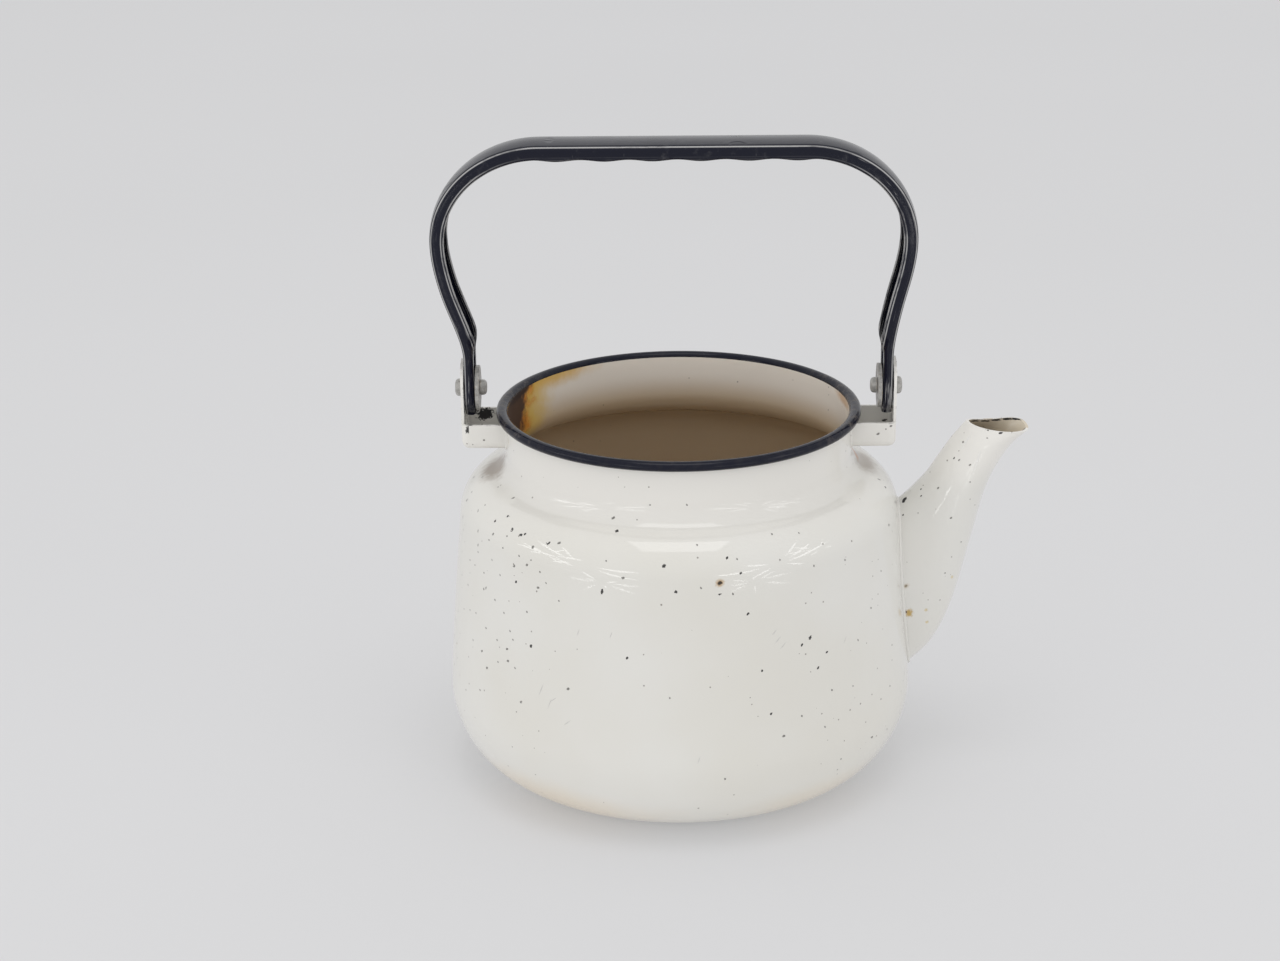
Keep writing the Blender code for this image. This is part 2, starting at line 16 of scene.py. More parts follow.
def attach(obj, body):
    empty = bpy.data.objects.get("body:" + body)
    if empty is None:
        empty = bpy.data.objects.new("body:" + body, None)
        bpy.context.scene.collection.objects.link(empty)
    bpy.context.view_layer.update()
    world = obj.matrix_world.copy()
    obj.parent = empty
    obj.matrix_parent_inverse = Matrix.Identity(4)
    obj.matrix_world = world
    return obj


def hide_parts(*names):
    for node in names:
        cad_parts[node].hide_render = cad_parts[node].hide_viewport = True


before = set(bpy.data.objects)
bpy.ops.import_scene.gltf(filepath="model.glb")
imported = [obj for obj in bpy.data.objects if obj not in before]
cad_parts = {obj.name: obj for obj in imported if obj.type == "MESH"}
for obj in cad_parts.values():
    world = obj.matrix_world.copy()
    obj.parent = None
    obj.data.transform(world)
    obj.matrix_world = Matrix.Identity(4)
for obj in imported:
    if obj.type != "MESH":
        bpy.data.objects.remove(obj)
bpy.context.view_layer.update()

bl_info = {
    "name": "Enamelled kettle",
    "version": (1, 0, 0),
    "blender": (4, 5, 0),
    "location": "3D View > Sidebar > Kettle",
    "description": "Makes the visible pieces of an enamelled stovetop kettle and the stage it stands on",
    "category": "Object",
}

IMAGE_WIDTH, IMAGE_HEIGHT = 1280, 961
SENSOR_WIDTH = 36.0
CLIP_START = 0.05
SIDES = (("rear", -1), ("front", 1))
CLEAR = 0.0003
OVERRUN = 0.004
SEAM_MERGE = 0.000003
BEAD_START = math.radians(-112)
SMOOTH_ANGLE = math.radians(42)
WALL_DRAFT_POWER = 1.2
ALONG_AXIS = 0.5

# Steps of the fine curves
BODY_SEGMENTS = 168
CORNER_STEPS = 26
WALL_STEPS = 16
SHOULDER_STEPS = 22
HOLLOW_STEPS = 10
BEAD_STEPS = 18
FLOOR_STEPS = 6
SPOUT_STATIONS = 72
SPOUT_ARC_STEPS = 30
TAB_STEPS = 28
TRAY_EDGE_STEPS = 6
FINGER_STEPS = 16
BEND_STEPS = 36
LEG_STEPS = 30
TAIL_STEPS = 8
END_STEPS = 12
FOLD_STEPS = 6
LIP_STEPS = 6
HEAD_STEPS = 10
RIVET_SEGMENTS = 48
WASHER_SEGMENTS = 72
HOLE_SEGMENTS = 24
ANGLE_HALVINGS = 40
BEAD_SIDES = 12
HEAD_SQUARENESS = 0.55

# Strainer behind the spout: holes in each row
STRAINER_ROWS = (3, 2, 3, 2, 3)

# Places across the handle's back, from its middle to its edge, and across an ear's floor, in halves of its width
CROWN_SHARES = (0.0, 0.35, 0.7, 1.0)
EAR_FLOOR_SHARES = (-0.5, -0.25, 0.0, 0.25, 0.5)

# Shares of the spout's span, root to mouth: (along, up) on its two edges, its width, its mouth's point
SPOUT_LOWER_SHARES = (
    (0.0, 0.0), (0.20, 0.095), (0.37, 0.265), (0.53, 0.55), (0.65, 0.765), (0.815, 0.91), (1.0, 1.0),
)
SPOUT_UPPER_SHARES = (
    (0.0, 0.0), (0.14, 0.10), (0.30, 0.235), (0.45, 0.375), (0.60, 0.565), (0.80, 0.81), (1.0, 1.0),
)
SPOUT_WIDTH_SHARES = (1.0, 0.93, 0.82, 0.68, 0.54, 0.30, 0.0)
MOUTH_POINT_SHARE = 0.32
MOUTH_LIP_START = 0.86
MOUTH_BLUNTNESS = 0.85

# How high each lip of the mouth is bent: at its middle, then by its place from beak to back, once and squared
FAR_LIP_BEND = (0.22, -3.0, 2.5)
NEAR_LIP_BEND = (-1.0, 0.0, 0.0)

# Enamel: how deep its relief and its worn edges are, how far a mark and its halo reach, and the least size of a mark
RELIEF_DEPTH = 0.00002
WORN_EDGE = 0.0005
SPOT_REACH, HALO_REACH = 1.8, 2.8
MARK_RAGGEDNESS = 2.0
LEAST_MARK, LEAST_SOFTNESS = 0.00001, 0.02


def size_of(text, default):
    return FloatProperty(description=text, default=default, min=0.0, precision=4, unit="LENGTH")


def angle_of(text, degrees):
    return FloatProperty(description=text, default=math.radians(degrees), subtype="ANGLE")


def tone_of(text, default):
    return FloatVectorProperty(description=text, default=default, size=3, min=0.0, max=1.0, subtype="COLOR")


def share_of(text, default):
    return FloatProperty(description=text, default=default, min=0.0, max=1.0, subtype="FACTOR")


class KettleSizes(PropertyGroup):
    """Sizes of the kettle's pieces."""
    sheet: size_of("Thickness of the enamelled sheet", 0.0012)
    neck_radius: size_of("Outside radius of the upright neck", 0.0708)
    shoulder_overhang: size_of("How far the shoulder stands out from the neck", 0.0195)
    wall_flare: size_of("How far the wall widens below the shoulder", 0.0060)
    corner_width: size_of("Width of the rounded bottom corner", 0.0323)
    corner_height: size_of("Height of the rounded bottom corner", 0.0360)
    wall_rise: size_of("Height of the wall above the corner", 0.0760)
    shoulder_rise: size_of("Height of the shoulder's curve", 0.0180)
    neck_hollow: size_of("Radius of the hollow between shoulder and neck", 0.0090)
    neck_rise: size_of("Height of the neck above the shoulder", 0.0227)
    bead_overhang: size_of("How far the rolled rim stands out from the neck", 0.0036)
    bead_half_height: size_of("Half the height of the rolled rim", 0.0020)
    strainer_hole: size_of("Diameter of a hole behind the spout", 0.0050)
    strainer_pitch: size_of("Distance between strainer holes", 0.0090)
    spout_root_above_corner: size_of("How far above the corner the spout starts", 0.0045)
    spout_root_half_width: size_of("Half the width of the spout at the body", 0.0190)
    spout_root_depth: size_of("How far the spout runs into the body before it is trimmed", 0.0080)
    spout_reach: size_of("How far the beak stands out from the wall", 0.0470)
    beak_below_rim: size_of("How far the beak lies below the rim", 0.0096)
    mouth_length: size_of("Length of the spout's mouth", 0.0256)
    mouth_tilt: size_of("How far the mouth's back stands above the beak", 0.0034)
    mouth_half_width: size_of("Half the width of the spout's mouth", 0.0074)
    mouth_twist: size_of("How far the mouth's far lip is bent up and its near lip down", 0.0009)
    ear_reach: size_of("How far an ear stands out from the neck", 0.0174)
    ear_depth: size_of("Width of an ear along the neck", 0.0245)
    ear_height: size_of("Height of an ear's tray", 0.0105)
    ear_below_rim: size_of("How far the tray's edge lies below the rim", 0.0032)
    ear_corner: size_of("Radius of the tray's rounded edges", 0.0032)
    tab_width: size_of("Width of the ear's tab", 0.0195)
    tab_above_pivot: size_of("How far the tab stands above the rivet", 0.0120)
    pivot_above_ear: size_of("How far the rivet lies above the tray's edge", 0.0125)
    shank_radius: size_of("Radius of the rivet's shank", 0.0023)
    outer_head_radius: size_of("Radius of the rivet's outer head", 0.0036)
    outer_head_height: size_of("Height of the rivet's outer head", 0.0025)
    inner_head_radius: size_of("Radius of the rivet's inner head", 0.0032)
    inner_head_height: size_of("Height of the rivet's inner head", 0.0026)
    washer_radius: size_of("Radius of the washer inside the handle", 0.0090)
    washer_thickness: size_of("Thickness of the washer", 0.0015)
    handle_sheet: size_of("Thickness of the handle's sheet", 0.0010)
    handle_half_width: size_of("Half the width of the handle's channel", 0.0100)
    handle_crown: size_of("How far the handle's back is crowned", 0.0005)
    handle_fold_radius: size_of("Radius of the fold along the handle's edges", 0.0015)
    handle_flange: size_of("Depth of the handle's side", 0.0025)
    handle_lip_radius: size_of("Radius of the rolled lip", 0.0008)
    handle_rise: size_of("Height of the handle above the rivets", 0.1018)
    handle_bar_half: size_of("Half the length of the straight bar", 0.0530)
    handle_bulge: size_of("How far the legs stand out beyond the ears", 0.0103)
    handle_bend_drop: size_of("Height of the bend at each end of the bar", 0.0395)
    handle_foot_rise: size_of("Straight length above each rivet", 0.0140)
    handle_leg_tension: size_of("How long the leg keeps upright below its bend", 0.0170)
    handle_foot_tension: size_of("How long the leg keeps upright above its foot", 0.0120)
    handle_fold_length: size_of("Length over which the channel is folded flat", 0.0110)
    handle_end_reach: size_of("How far the handle's end reaches below the rivet", 0.0105)
    handle_lean: size_of("How far the bar stands towards the rear ear", 0.0016)
    finger_pitch: size_of("Length of one finger wave under the bar", 0.0190)
    finger_depth: size_of("Depth of the finger waves", 0.0007)
    spout_weld_radius: size_of("Radius of the bead where the spout meets the body", 0.0010)
    ear_weld_radius: size_of("Radius of the bead where an ear meets the neck", 0.0007)
    finger_count: IntProperty(description="Number of waves under the bar", default=6, min=0)
    lip_turn: angle_of("How far the handle's lips are rolled in", 150)

    shoulder_radius = property(lambda s: s.neck_radius + s.shoulder_overhang)
    widest_radius = property(lambda s: s.shoulder_radius + s.wall_flare)
    base_radius = property(lambda s: s.widest_radius - s.corner_width)
    shoulder_height = property(lambda s: s.corner_height + s.wall_rise)
    rim_height = property(lambda s: s.shoulder_height + s.shoulder_rise + s.neck_rise)
    ear_outer_x = property(lambda s: s.neck_radius + s.ear_reach)
    ear_top = property(lambda s: s.rim_height - s.ear_below_rim)
    ear_bottom = property(lambda s: s.ear_top - s.ear_height)
    pivot_height = property(lambda s: s.ear_top + s.pivot_above_ear)
    tab_top = property(lambda s: s.pivot_height + s.tab_above_pivot)
    handle_outer_x = property(lambda s: s.ear_outer_x - s.sheet - CLEAR)
    handle_top = property(lambda s: s.pivot_height + s.handle_rise)
    handle_foot = property(lambda s: s.pivot_height + s.handle_foot_rise)
    washer_outer_x = property(lambda s: s.handle_outer_x - 2 * s.handle_fold_radius - s.handle_sheet - CLEAR)
    washer_inner_x = property(lambda s: s.washer_outer_x - s.washer_thickness)
    spout_low = property(lambda s: s.corner_height + s.spout_root_above_corner)


class KettleFinish(PropertyGroup):
    """Colours and wear of the kettle's enamel and steel."""
    cream: tone_of("Colour of the body, spout and ears", (0.725, 0.715, 0.680))
    black: tone_of("Colour of the rim and the handle", (0.007, 0.008, 0.017))
    steel: tone_of("Colour of rivets and washers", (0.42, 0.41, 0.39))
    # Painted light: a paler tone than the same cream outside, standing in for light on the inside of the neck
    inner: tone_of("Colour of the enamel inside the neck", (0.82, 0.77, 0.70))
    lining: tone_of("Colour of the enamel deep inside", (0.52, 0.39, 0.24))
    ground: tone_of("Dark colour where the enamel is chipped", (0.035, 0.033, 0.032))
    rust: tone_of("Colour of rust at the chips", (0.42, 0.24, 0.06))
    # Scales the grey lines along the handle's folds, partly wear and partly painted highlight, and along its lips,
    # painted highlight
    wear: share_of("How far the black enamel's edges are worn", 0.9)
    speckle: share_of("Share of places with a small chip", 0.12)


class KettleStage(PropertyGroup):
    """Floor, lamps and camera."""
    floor: tone_of("Colour of the floor and the backdrop", (0.70, 0.70, 0.71))
    world: FloatProperty(description="Strength of the even light from all sides", default=0.88, min=0.0)
    evenness: share_of("How far the floor shows its own tone, unshaded", 0.35)
    camera_pitch: angle_of("How far the camera looks down", 19.893)
    camera_yaw: angle_of("How far the camera looks to the left", 0.8937)
    camera_roll: angle_of("How far the camera is tilted", -0.606)
    camera_height: size_of("Height of the camera above the floor", 0.4933)
    camera_distance: size_of("Distance of the camera from the kettle's axis", 1.02846)
    lens: FloatProperty(description="Focal length on a full-frame sensor", default=74.53, min=1.0)


def ease(value):
    value = max(0.0, min(1.0, value))
    return value * value * (3 - 2 * value)


def arc_points(centre, width, height, start, end, steps):
    """Points on an ellipse's arc, in the (radius, height) plane."""
    points = []
    for step in range(steps + 1):
        angle = start + (end - start) * step / steps
        points.append((centre[0] + width * math.cos(angle), centre[1] + height * math.sin(angle)))
    return points


def wall_share(s, height):
    return (height - s.corner_height) / s.wall_rise


def wall_radius(s, height):
    return s.widest_radius - s.wall_flare * max(0.0, wall_share(s, height)) ** WALL_DRAFT_POWER


def wall_slope(s, height):
    share = max(0.0, wall_share(s, height))
    return s.wall_flare / s.wall_rise * WALL_DRAFT_POWER * share ** (WALL_DRAFT_POWER - 1)


def ellipse_place(centre, width, height, angle):
    """A point on an ellipse and the direction square to the ellipse there."""
    point = Vector((centre[0] + width * math.cos(angle), centre[1] + height * math.sin(angle)))
    normal = Vector((math.cos(angle) / width, math.sin(angle) / height)).normalized()
    return point, normal


def corner_places(s):
    centre = (s.base_radius, s.corner_height)
    angles = [-math.pi / 2 * (1 - step / CORNER_STEPS) for step in range(CORNER_STEPS + 1)]
    return [ellipse_place(centre, s.corner_width, s.corner_height, angle) for angle in angles]


def wall_places(s):
    places = []
    for step in range(1, WALL_STEPS):
        height = s.corner_height + s.wall_rise * step / WALL_STEPS
        normal = Vector((1, wall_slope(s, height))).normalized()
        places.append((Vector((wall_radius(s, height), height)), normal))
    return places


def shoulder_ellipse(s):
    """Centre, size and first angle of the shoulder's curve, which carries the wall on."""
    start = math.atan(wall_slope(s, s.shoulder_height) * s.shoulder_rise / s.shoulder_overhang)
    across = s.shoulder_radius - s.shoulder_overhang * math.cos(start)
    up = s.shoulder_height - s.shoulder_rise * math.sin(start)
    return (across, up), s.shoulder_overhang, s.shoulder_rise, start


def fillet_angle(s):
    """Where on the shoulder's curve the hollow to the neck begins, found by halving."""
    centre, width, rise, low = shoulder_ellipse(s)
    high = math.pi / 2
    for _ in range(ANGLE_HALVINGS):
        angle = (low + high) / 2
        point, normal = ellipse_place(centre, width, rise, angle)
        if point.x + s.neck_hollow * normal.x > s.neck_radius + s.neck_hollow:
            low = angle
        else:
            high = angle
    return low


def shoulder_places(s):
    """The shoulder's curve and the hollow that joins it to the upright neck."""
    centre, width, rise, start = shoulder_ellipse(s)
    end = fillet_angle(s)
    angles = [start + (end - start) * step / SHOULDER_STEPS for step in range(SHOULDER_STEPS + 1)]
    places = [ellipse_place(centre, width, rise, angle) for angle in angles]
    last_point, last_normal = places[-1]
    hollow_centre = last_point + last_normal * s.neck_hollow
    first = math.atan2(last_normal.y, last_normal.x)
    for step in range(1, HOLLOW_STEPS + 1):
        angle = first * (1 - step / HOLLOW_STEPS)
        normal = Vector((math.cos(angle), math.sin(angle)))
        places.append((hollow_centre - normal * s.neck_hollow, normal))
    return places


def body_outside(s, outset=0.0):
    """The shell's line from the base's edge to the neck, moved out by a distance."""
    places = corner_places(s) + wall_places(s) + shoulder_places(s)
    moved = [point + normal * outset for point, normal in places]
    return [(point.x, point.y) for point in moved]


def body_profile(s):
    """The whole section of the shell: outside, rolled rim, then inside back to the axis."""
    outside = body_outside(s)
    inside = body_outside(s, -s.sheet)
    bead_inner = s.neck_radius - s.sheet
    bead_half = (s.neck_radius + s.bead_overhang - bead_inner) / 2
    centre = (bead_inner + bead_half, s.rim_height)
    bead = arc_points(centre, bead_half, s.bead_half_height, BEAD_START, math.pi, BEAD_STEPS)
    start = (s.neck_radius, bead[0][1])
    rings = [step / FLOOR_STEPS for step in range(FLOOR_STEPS)]
    floor = [(outside[0][0] * share, 0.0) for share in rings]
    inner_floor = [(inside[0][0] * share, s.sheet) for share in reversed(rings)]
    return floor + outside + [start] + bead[1:] + inside[::-1] + inner_floor


def smooth_through(points, share):
    """A point on the Catmull-Rom curve through evenly timed points."""
    spans = len(points) - 1
    position = min(share, 1.0) * spans
    span = min(int(position), spans - 1)
    local = position - span
    before = points[max(span - 1, 0)]
    after = points[min(span + 2, spans)]
    result = []
    for p0, p1, p2, p3 in zip(before, points[span], points[span + 1], after):
        value = 2 * p1 + (p2 - p0) * local
        value += (2 * p0 - 5 * p1 + 4 * p2 - p3) * local ** 2
        value += (3 * p1 - p0 - 3 * p2 + p3) * local ** 3
        result.append(value / 2)
    return result


def spout_edge(shares, start, end, share):
    along, up = smooth_through(shares, share)
    return Vector((start[0] + (end[0] - start[0]) * along, 0, start[1] + (end[1] - start[1]) * up))


def spout_section(s, share, side, inset):
    """One half of the spout's section, lower edge to upper edge, moved in by the sheet."""
    low_start = (wall_radius(s, s.spout_low), s.spout_low)
    high_start = (s.shoulder_radius, s.shoulder_height)
    beak = (low_start[0] + s.spout_reach, s.rim_height - s.beak_below_rim)
    mouth_back = (beak[0] - s.mouth_length, beak[1] + s.mouth_tilt)
    lower = spout_edge(SPOUT_LOWER_SHARES, low_start, beak, share)
    upper = spout_edge(SPOUT_UPPER_SHARES, high_start, mouth_back, share)
    width_share = smooth_through([(value,) for value in SPOUT_WIDTH_SHARES], share)[0]
    half_width = s.mouth_half_width + (s.spout_root_half_width - s.mouth_half_width) * width_share
    centre = (lower + upper) / 2
    half_span = (upper - lower) / 2
    half_span = half_span * ((half_span.length - inset) / half_span.length)
    lip = ease((share - MOUTH_LIP_START) / (1 - MOUTH_LIP_START))
    roundness = 0.5 + MOUTH_POINT_SHARE * share ** 3 * (1 - MOUTH_BLUNTNESS * lip)
    middle_bend, end_bend, bend_curve = FAR_LIP_BEND if side > 0 else NEAR_LIP_BEND
    points = []
    for step in range(SPOUT_ARC_STEPS + 1):
        reach = math.sin(math.pi * (step / SPOUT_ARC_STEPS - 0.5))
        bulge = max(0.0, 1 - reach ** 2) ** roundness
        bend = middle_bend + end_bend * reach + bend_curve * reach ** 2
        away = Vector((0, side * (half_width - inset) * bulge, s.mouth_twist * lip * bulge * bend))
        points.append(centre + half_span * reach + away)
    return points


def handle_half_path(s):
    """The outer face's line from the middle of the bar down to one end, in the XZ plane."""
    points = []
    bar_steps = round(s.handle_bar_half / (s.finger_pitch / FINGER_STEPS))
    for step in range(bar_steps + 1):
        points.append(Vector((s.handle_bar_half * step / bar_steps, 0, s.handle_top)))
    bend_low = s.handle_top - s.handle_bend_drop
    widest = s.handle_outer_x + s.handle_bulge
    for step in range(1, BEND_STEPS + 1):
        angle = math.pi / 2 * (1 - step / BEND_STEPS)
        across = s.handle_bar_half + (widest - s.handle_bar_half) * math.cos(angle)
        points.append(Vector((across, 0, bend_low + s.handle_bend_drop * math.sin(angle))))
    leg = (
        Vector((widest, 0, bend_low)),
        Vector((widest, 0, bend_low - s.handle_leg_tension)),
        Vector((s.handle_outer_x, 0, s.handle_foot + s.handle_foot_tension)),
        Vector((s.handle_outer_x, 0, s.handle_foot)),
    )
    points += geometry.interpolate_bezier(*leg, LEG_STEPS + 1)[1:]
    for step in range(1, TAIL_STEPS + 1):
        points.append(Vector((s.handle_outer_x, 0, s.handle_foot - s.handle_foot_rise * step / TAIL_STEPS)))
    for step in range(1, END_STEPS + 1):
        drop = s.handle_end_reach * math.sin(math.pi / 2 * step / END_STEPS)
        points.append(Vector((s.handle_outer_x, 0, s.pivot_height - drop)))
    return points


def handle_path(s):
    """The whole line, end to end, its bar standing a little towards the rear ear."""
    half = handle_half_path(s)
    mirrored = [Vector((-point.x, 0, point.z)) for point in half[:0:-1]]
    lean_height = s.handle_leg_tension + s.handle_foot_tension
    path = []
    for point in mirrored + half:
        lean = s.handle_lean * ease((point.z - s.handle_foot) / lean_height)
        path.append(point - Vector((lean, 0, 0)))
    return path


def handle_fold_share(s, point):
    """0 on the open channel, 1 where its sides are folded flat at the ends."""
    return ease((s.handle_foot + s.handle_fold_length - point.z) / s.handle_fold_length)


def handle_half_width(s, point):
    below = max(0.0, s.pivot_height - point.z)
    share = min(1.0, below / s.handle_end_reach)
    least = s.handle_fold_radius + s.handle_sheet / 2 + s.handle_flange
    return max(least, s.handle_half_width * math.sqrt(max(0.0, 1 - share ** 2)))


def finger_wave(s, point):
    """How far the grip's lower edges stand proud at a place along the bar."""
    half_length = s.finger_pitch * s.finger_count / 2
    if abs(point.x) > half_length:
        return 0.0
    return s.finger_depth * (1 - math.cos(2 * math.pi * (point.x + half_length) / s.finger_pitch)) / 2


def handle_section(s, point):
    """Half of the channel's middle line: (across, outward, direction angle) from web to lip."""
    folded = handle_fold_share(s, point)
    fold_angle = math.pi / 2 * (1 + folded)
    surface = -s.handle_sheet / 2
    corner = handle_half_width(s, point) - s.handle_sheet / 2 - s.handle_fold_radius
    crown = s.handle_crown * (1 - folded)
    line = [(corner * share, surface + crown * (1 - share ** 2), 0) for share in CROWN_SHARES]
    for step in range(1, FOLD_STEPS + 1):
        angle = fold_angle * step / FOLD_STEPS
        across = corner + s.handle_fold_radius * math.sin(angle)
        line.append((across, surface - s.handle_fold_radius * (1 - math.cos(angle)), angle))
    flange = min(s.handle_flange + finger_wave(s, point), corner - s.handle_sheet)
    lip_across = line[-1][0] + flange * math.cos(fold_angle)
    lip_outward = line[-1][1] - flange * math.sin(fold_angle)
    line.append((lip_across, lip_outward, fold_angle))
    for step in range(1, LIP_STEPS + 1):
        turn = s.lip_turn * (1 - folded) * step / LIP_STEPS
        heading = fold_angle + turn / 2
        reach = 2 * s.handle_lip_radius * math.sin(turn / 2) + CLEAR * folded * step * 2 / LIP_STEPS
        line.append((
            lip_across + reach * math.cos(heading), lip_outward - reach * math.sin(heading), fold_angle + turn,
        ))
    return line


def handle_station(s, path, index):
    point = path[index]
    tangent = (path[min(index + 1, len(path) - 1)] - path[max(index - 1, 0)]).normalized()
    outward_axis = Vector((-tangent.z, 0, tangent.x))
    outer = []
    inner = []
    half = handle_section(s, point)
    full = [(-across, outward, -angle) for across, outward, angle in half[:0:-1]] + half
    for across, outward, angle in full:
        middle = point + outward_axis * outward + Vector((0, across, 0))
        normal = outward_axis * math.cos(angle) + Vector((0, math.sin(angle), 0))
        outer.append(middle + normal * (s.handle_sheet / 2))
        inner.append(middle - normal * (s.handle_sheet / 2))
    return outer, inner


def link(obj):
    bpy.context.scene.collection.objects.link(obj)
    return obj


def object_from(name, bm, *materials):
    """Turn a closed bmesh into a named object with its faces pointing out."""
    bmesh.ops.remove_doubles(bm, verts=bm.verts, dist=SEAM_MERGE)
    bmesh.ops.recalc_face_normals(bm, faces=bm.faces)
    mesh = bpy.data.meshes.new(name)
    bm.to_mesh(mesh)
    bm.free()
    for material in materials:
        mesh.materials.append(material)
    return link(bpy.data.objects.new(name, mesh))


def cut(obj, *cutters):
    """Cut other objects out of one, then leave its mesh plain and take the cutters away."""
    for cutter in cutters:
        boolean = obj.modifiers.new(cutter.name, "BOOLEAN")
        boolean.operation = "DIFFERENCE"
        boolean.solver = "EXACT"
        boolean.object = cutter
    settle(obj)


def settle(obj):
    """Keep what the modifiers make as the object's own plain mesh."""
    old = obj.data
    evaluated = obj.evaluated_get(bpy.context.evaluated_depsgraph_get())
    obj.data = bpy.data.meshes.new_from_object(evaluated)
    obj.data.name = old.name
    obj.modifiers.clear()
    bpy.data.meshes.remove(old)
    return obj


def drop(*objects):
    for obj in objects:
        bpy.data.objects.remove(obj, do_unlink=True)


def finish_piece(obj, body, slot, *nodes):
    """Smooth a piece, seat it on its body and let it stand for its CAD nodes."""
    face_out(obj)
    obj.data.shade_smooth()
    obj.data.set_sharp_from_angle(angle=SMOOTH_ANGLE)
    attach(obj, body)
    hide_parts(*nodes)
    return obj


def new_tree(name, kind, inputs, outputs):
    """An empty node group with named sockets; gives the tree, what it is given and what it gives."""
    tree = bpy.data.node_groups.new(name, kind)
    for way, sockets in (("INPUT", inputs), ("OUTPUT", outputs)):
        for label, value_kind in sockets.items():
            tree.interface.new_socket(name=label, in_out=way, socket_type="NodeSocket" + value_kind)
    return tree, tree.nodes.new("NodeGroupInput").outputs, tree.nodes.new("NodeGroupOutput").inputs


def tree_named(name, maker):
    return bpy.data.node_groups.get(name) or maker(name)


def join(start, end):
    end.id_data.links.new(start, end)


def input_of(node, name):
    """A node's input by its number (i0, i1 and so on) or by its name, with an underscore for each space."""
    numbered = name[0] == "i" and name[1:].isdigit()
    return node.inputs[int(name[1:]) if numbered else name.replace("_", " ")]


def add(tree, kind, settings=None, **inputs):
    """Add a node, set what is given, and link the inputs that come from other nodes."""
    node = tree.nodes.new(kind)
    for name, value in (settings or {}).items():
        setattr(node, name, value)
    for name, value in inputs.items():
        socket = input_of(node, name)
        if isinstance(value, bpy.types.NodeSocket):
            join(value, socket)
        elif socket.type == "RGBA" and len(value) == 3:
            socket.default_value = (*value, 1.0)
        else:
            socket.default_value = value
    return node


def calc(operation, first, second=0.0):
    """A sum on two values, of which one at least comes from a node."""
    tree = next(value.id_data for value in (first, second) if isinstance(value, bpy.types.NodeSocket))
    return add(tree, "ShaderNodeMath", {"operation": operation}, i0=first, i1=second).outputs[0]


def plus(first, second):
    return calc("ADD", first, second)


def minus(first, second):
    return calc("SUBTRACT", first, second)


def times(first, second):
    return calc("MULTIPLY", first, second)


def over(first, second):
    return calc("DIVIDE", first, second)


def larger(first, second):
    return calc("MAXIMUM", first, second)


def axes(vector):
    """The X, Y and Z of a vector that comes from a node."""
    return add(vector.id_data, "ShaderNodeSeparateXYZ", Vector=vector).outputs


def finished(made, finish):
    """Plain geometry with its material, from what a node made."""
    tree = made.id_data
    real = add(tree, "GeometryNodeRealizeInstances", i0=made.outputs[0])
    return add(tree, "GeometryNodeSetMaterial", Geometry=real.outputs[0], Material=finish)


def turned_tree(name):
    """Geometry nodes that spin a chain of points round the Z axis into a closed sheet."""
    inputs = {
        "Geometry": "Geometry", "Segments": "Int", "Sheet Finish": "Material", "Rim Finish": "Material",
        "Rim From": "Float",
    }
    tree, given, out = new_tree(name, "GeometryNodeTree", inputs, {"Geometry": "Geometry"})
    count = add(tree, "GeometryNodeAttributeDomainSize", Geometry=given["Geometry"]).outputs["Point Count"]
    columns = plus(given["Segments"], 1)
    grid = add(tree, "GeometryNodeMeshGrid", Vertices_X=count, Vertices_Y=columns)
    index = tree.nodes.new("GeometryNodeInputIndex").outputs[0]
    row = calc("FLOOR", over(index, columns))
    angle = over(times(minus(index, times(row, columns)), 2 * math.pi), given["Segments"])
    position = tree.nodes.new("GeometryNodeInputPosition").outputs[0]
    sample = add(
        tree, "GeometryNodeSampleIndex", {"data_type": "FLOAT_VECTOR"},
        Geometry=given["Geometry"], Value=position, Index=row,
    )
    turn = add(tree, "ShaderNodeVectorRotate", {"rotation_type": "Z_AXIS"}, Vector=sample.outputs["Value"], Angle=angle)
    place = add(tree, "GeometryNodeSetPosition", Geometry=grid.outputs["Mesh"], Position=turn.outputs[0])
    merge = add(tree, "GeometryNodeMergeByDistance", Geometry=place.outputs[0], Distance=SEAM_MERGE)
    sheet = finished(merge, given["Sheet Finish"])
    on_rim = calc("GREATER_THAN", axes(position)["Z"], given["Rim From"])
    rim = add(
        tree, "GeometryNodeSetMaterial", Geometry=sheet.outputs[0], Selection=on_rim, Material=given["Rim Finish"],
    )
    join(rim.outputs[0], out["Geometry"])
    return tree


def pins_tree(name):
    """Geometry nodes that stand a round pin along X on every point."""
    inputs = {"Geometry": "Geometry", "Diameter": "Float", "Length": "Float", "Sides": "Int", "Finish": "Material"}
    tree, given, out = new_tree(name, "GeometryNodeTree", inputs, {"Geometry": "Geometry"})
    pin = add(
        tree, "GeometryNodeMeshCylinder",
        Vertices=given["Sides"], Radius=over(given["Diameter"], 2), Depth=given["Length"],
    )
    stand = add(
        tree, "GeometryNodeInstanceOnPoints",
        Points=given["Geometry"], Instance=pin.outputs["Mesh"], Rotation=(0, math.pi / 2, 0),
    )
    join(finished(stand, given["Finish"]).outputs[0], out["Geometry"])
    return tree


def weld_tree(name):
    """Geometry nodes that lay a round bead of enamel along a chain of points."""
    inputs = {"Geometry": "Geometry", "Radius": "Float", "Sides": "Int", "Finish": "Material"}
    tree, given, out = new_tree(name, "GeometryNodeTree", inputs, {"Geometry": "Geometry"})
    path = add(tree, "GeometryNodeMeshToCurve", Mesh=given["Geometry"])
    ring = add(tree, "GeometryNodeCurvePrimitiveCircle", Radius=given["Radius"], Resolution=given["Sides"])
    sweep = add(
        tree, "GeometryNodeCurveToMesh", Curve=path.outputs[0], Profile_Curve=ring.outputs[0], Fill_Caps=True,
    )
    join(finished(sweep, given["Finish"]).outputs[0], out["Geometry"])
    return tree


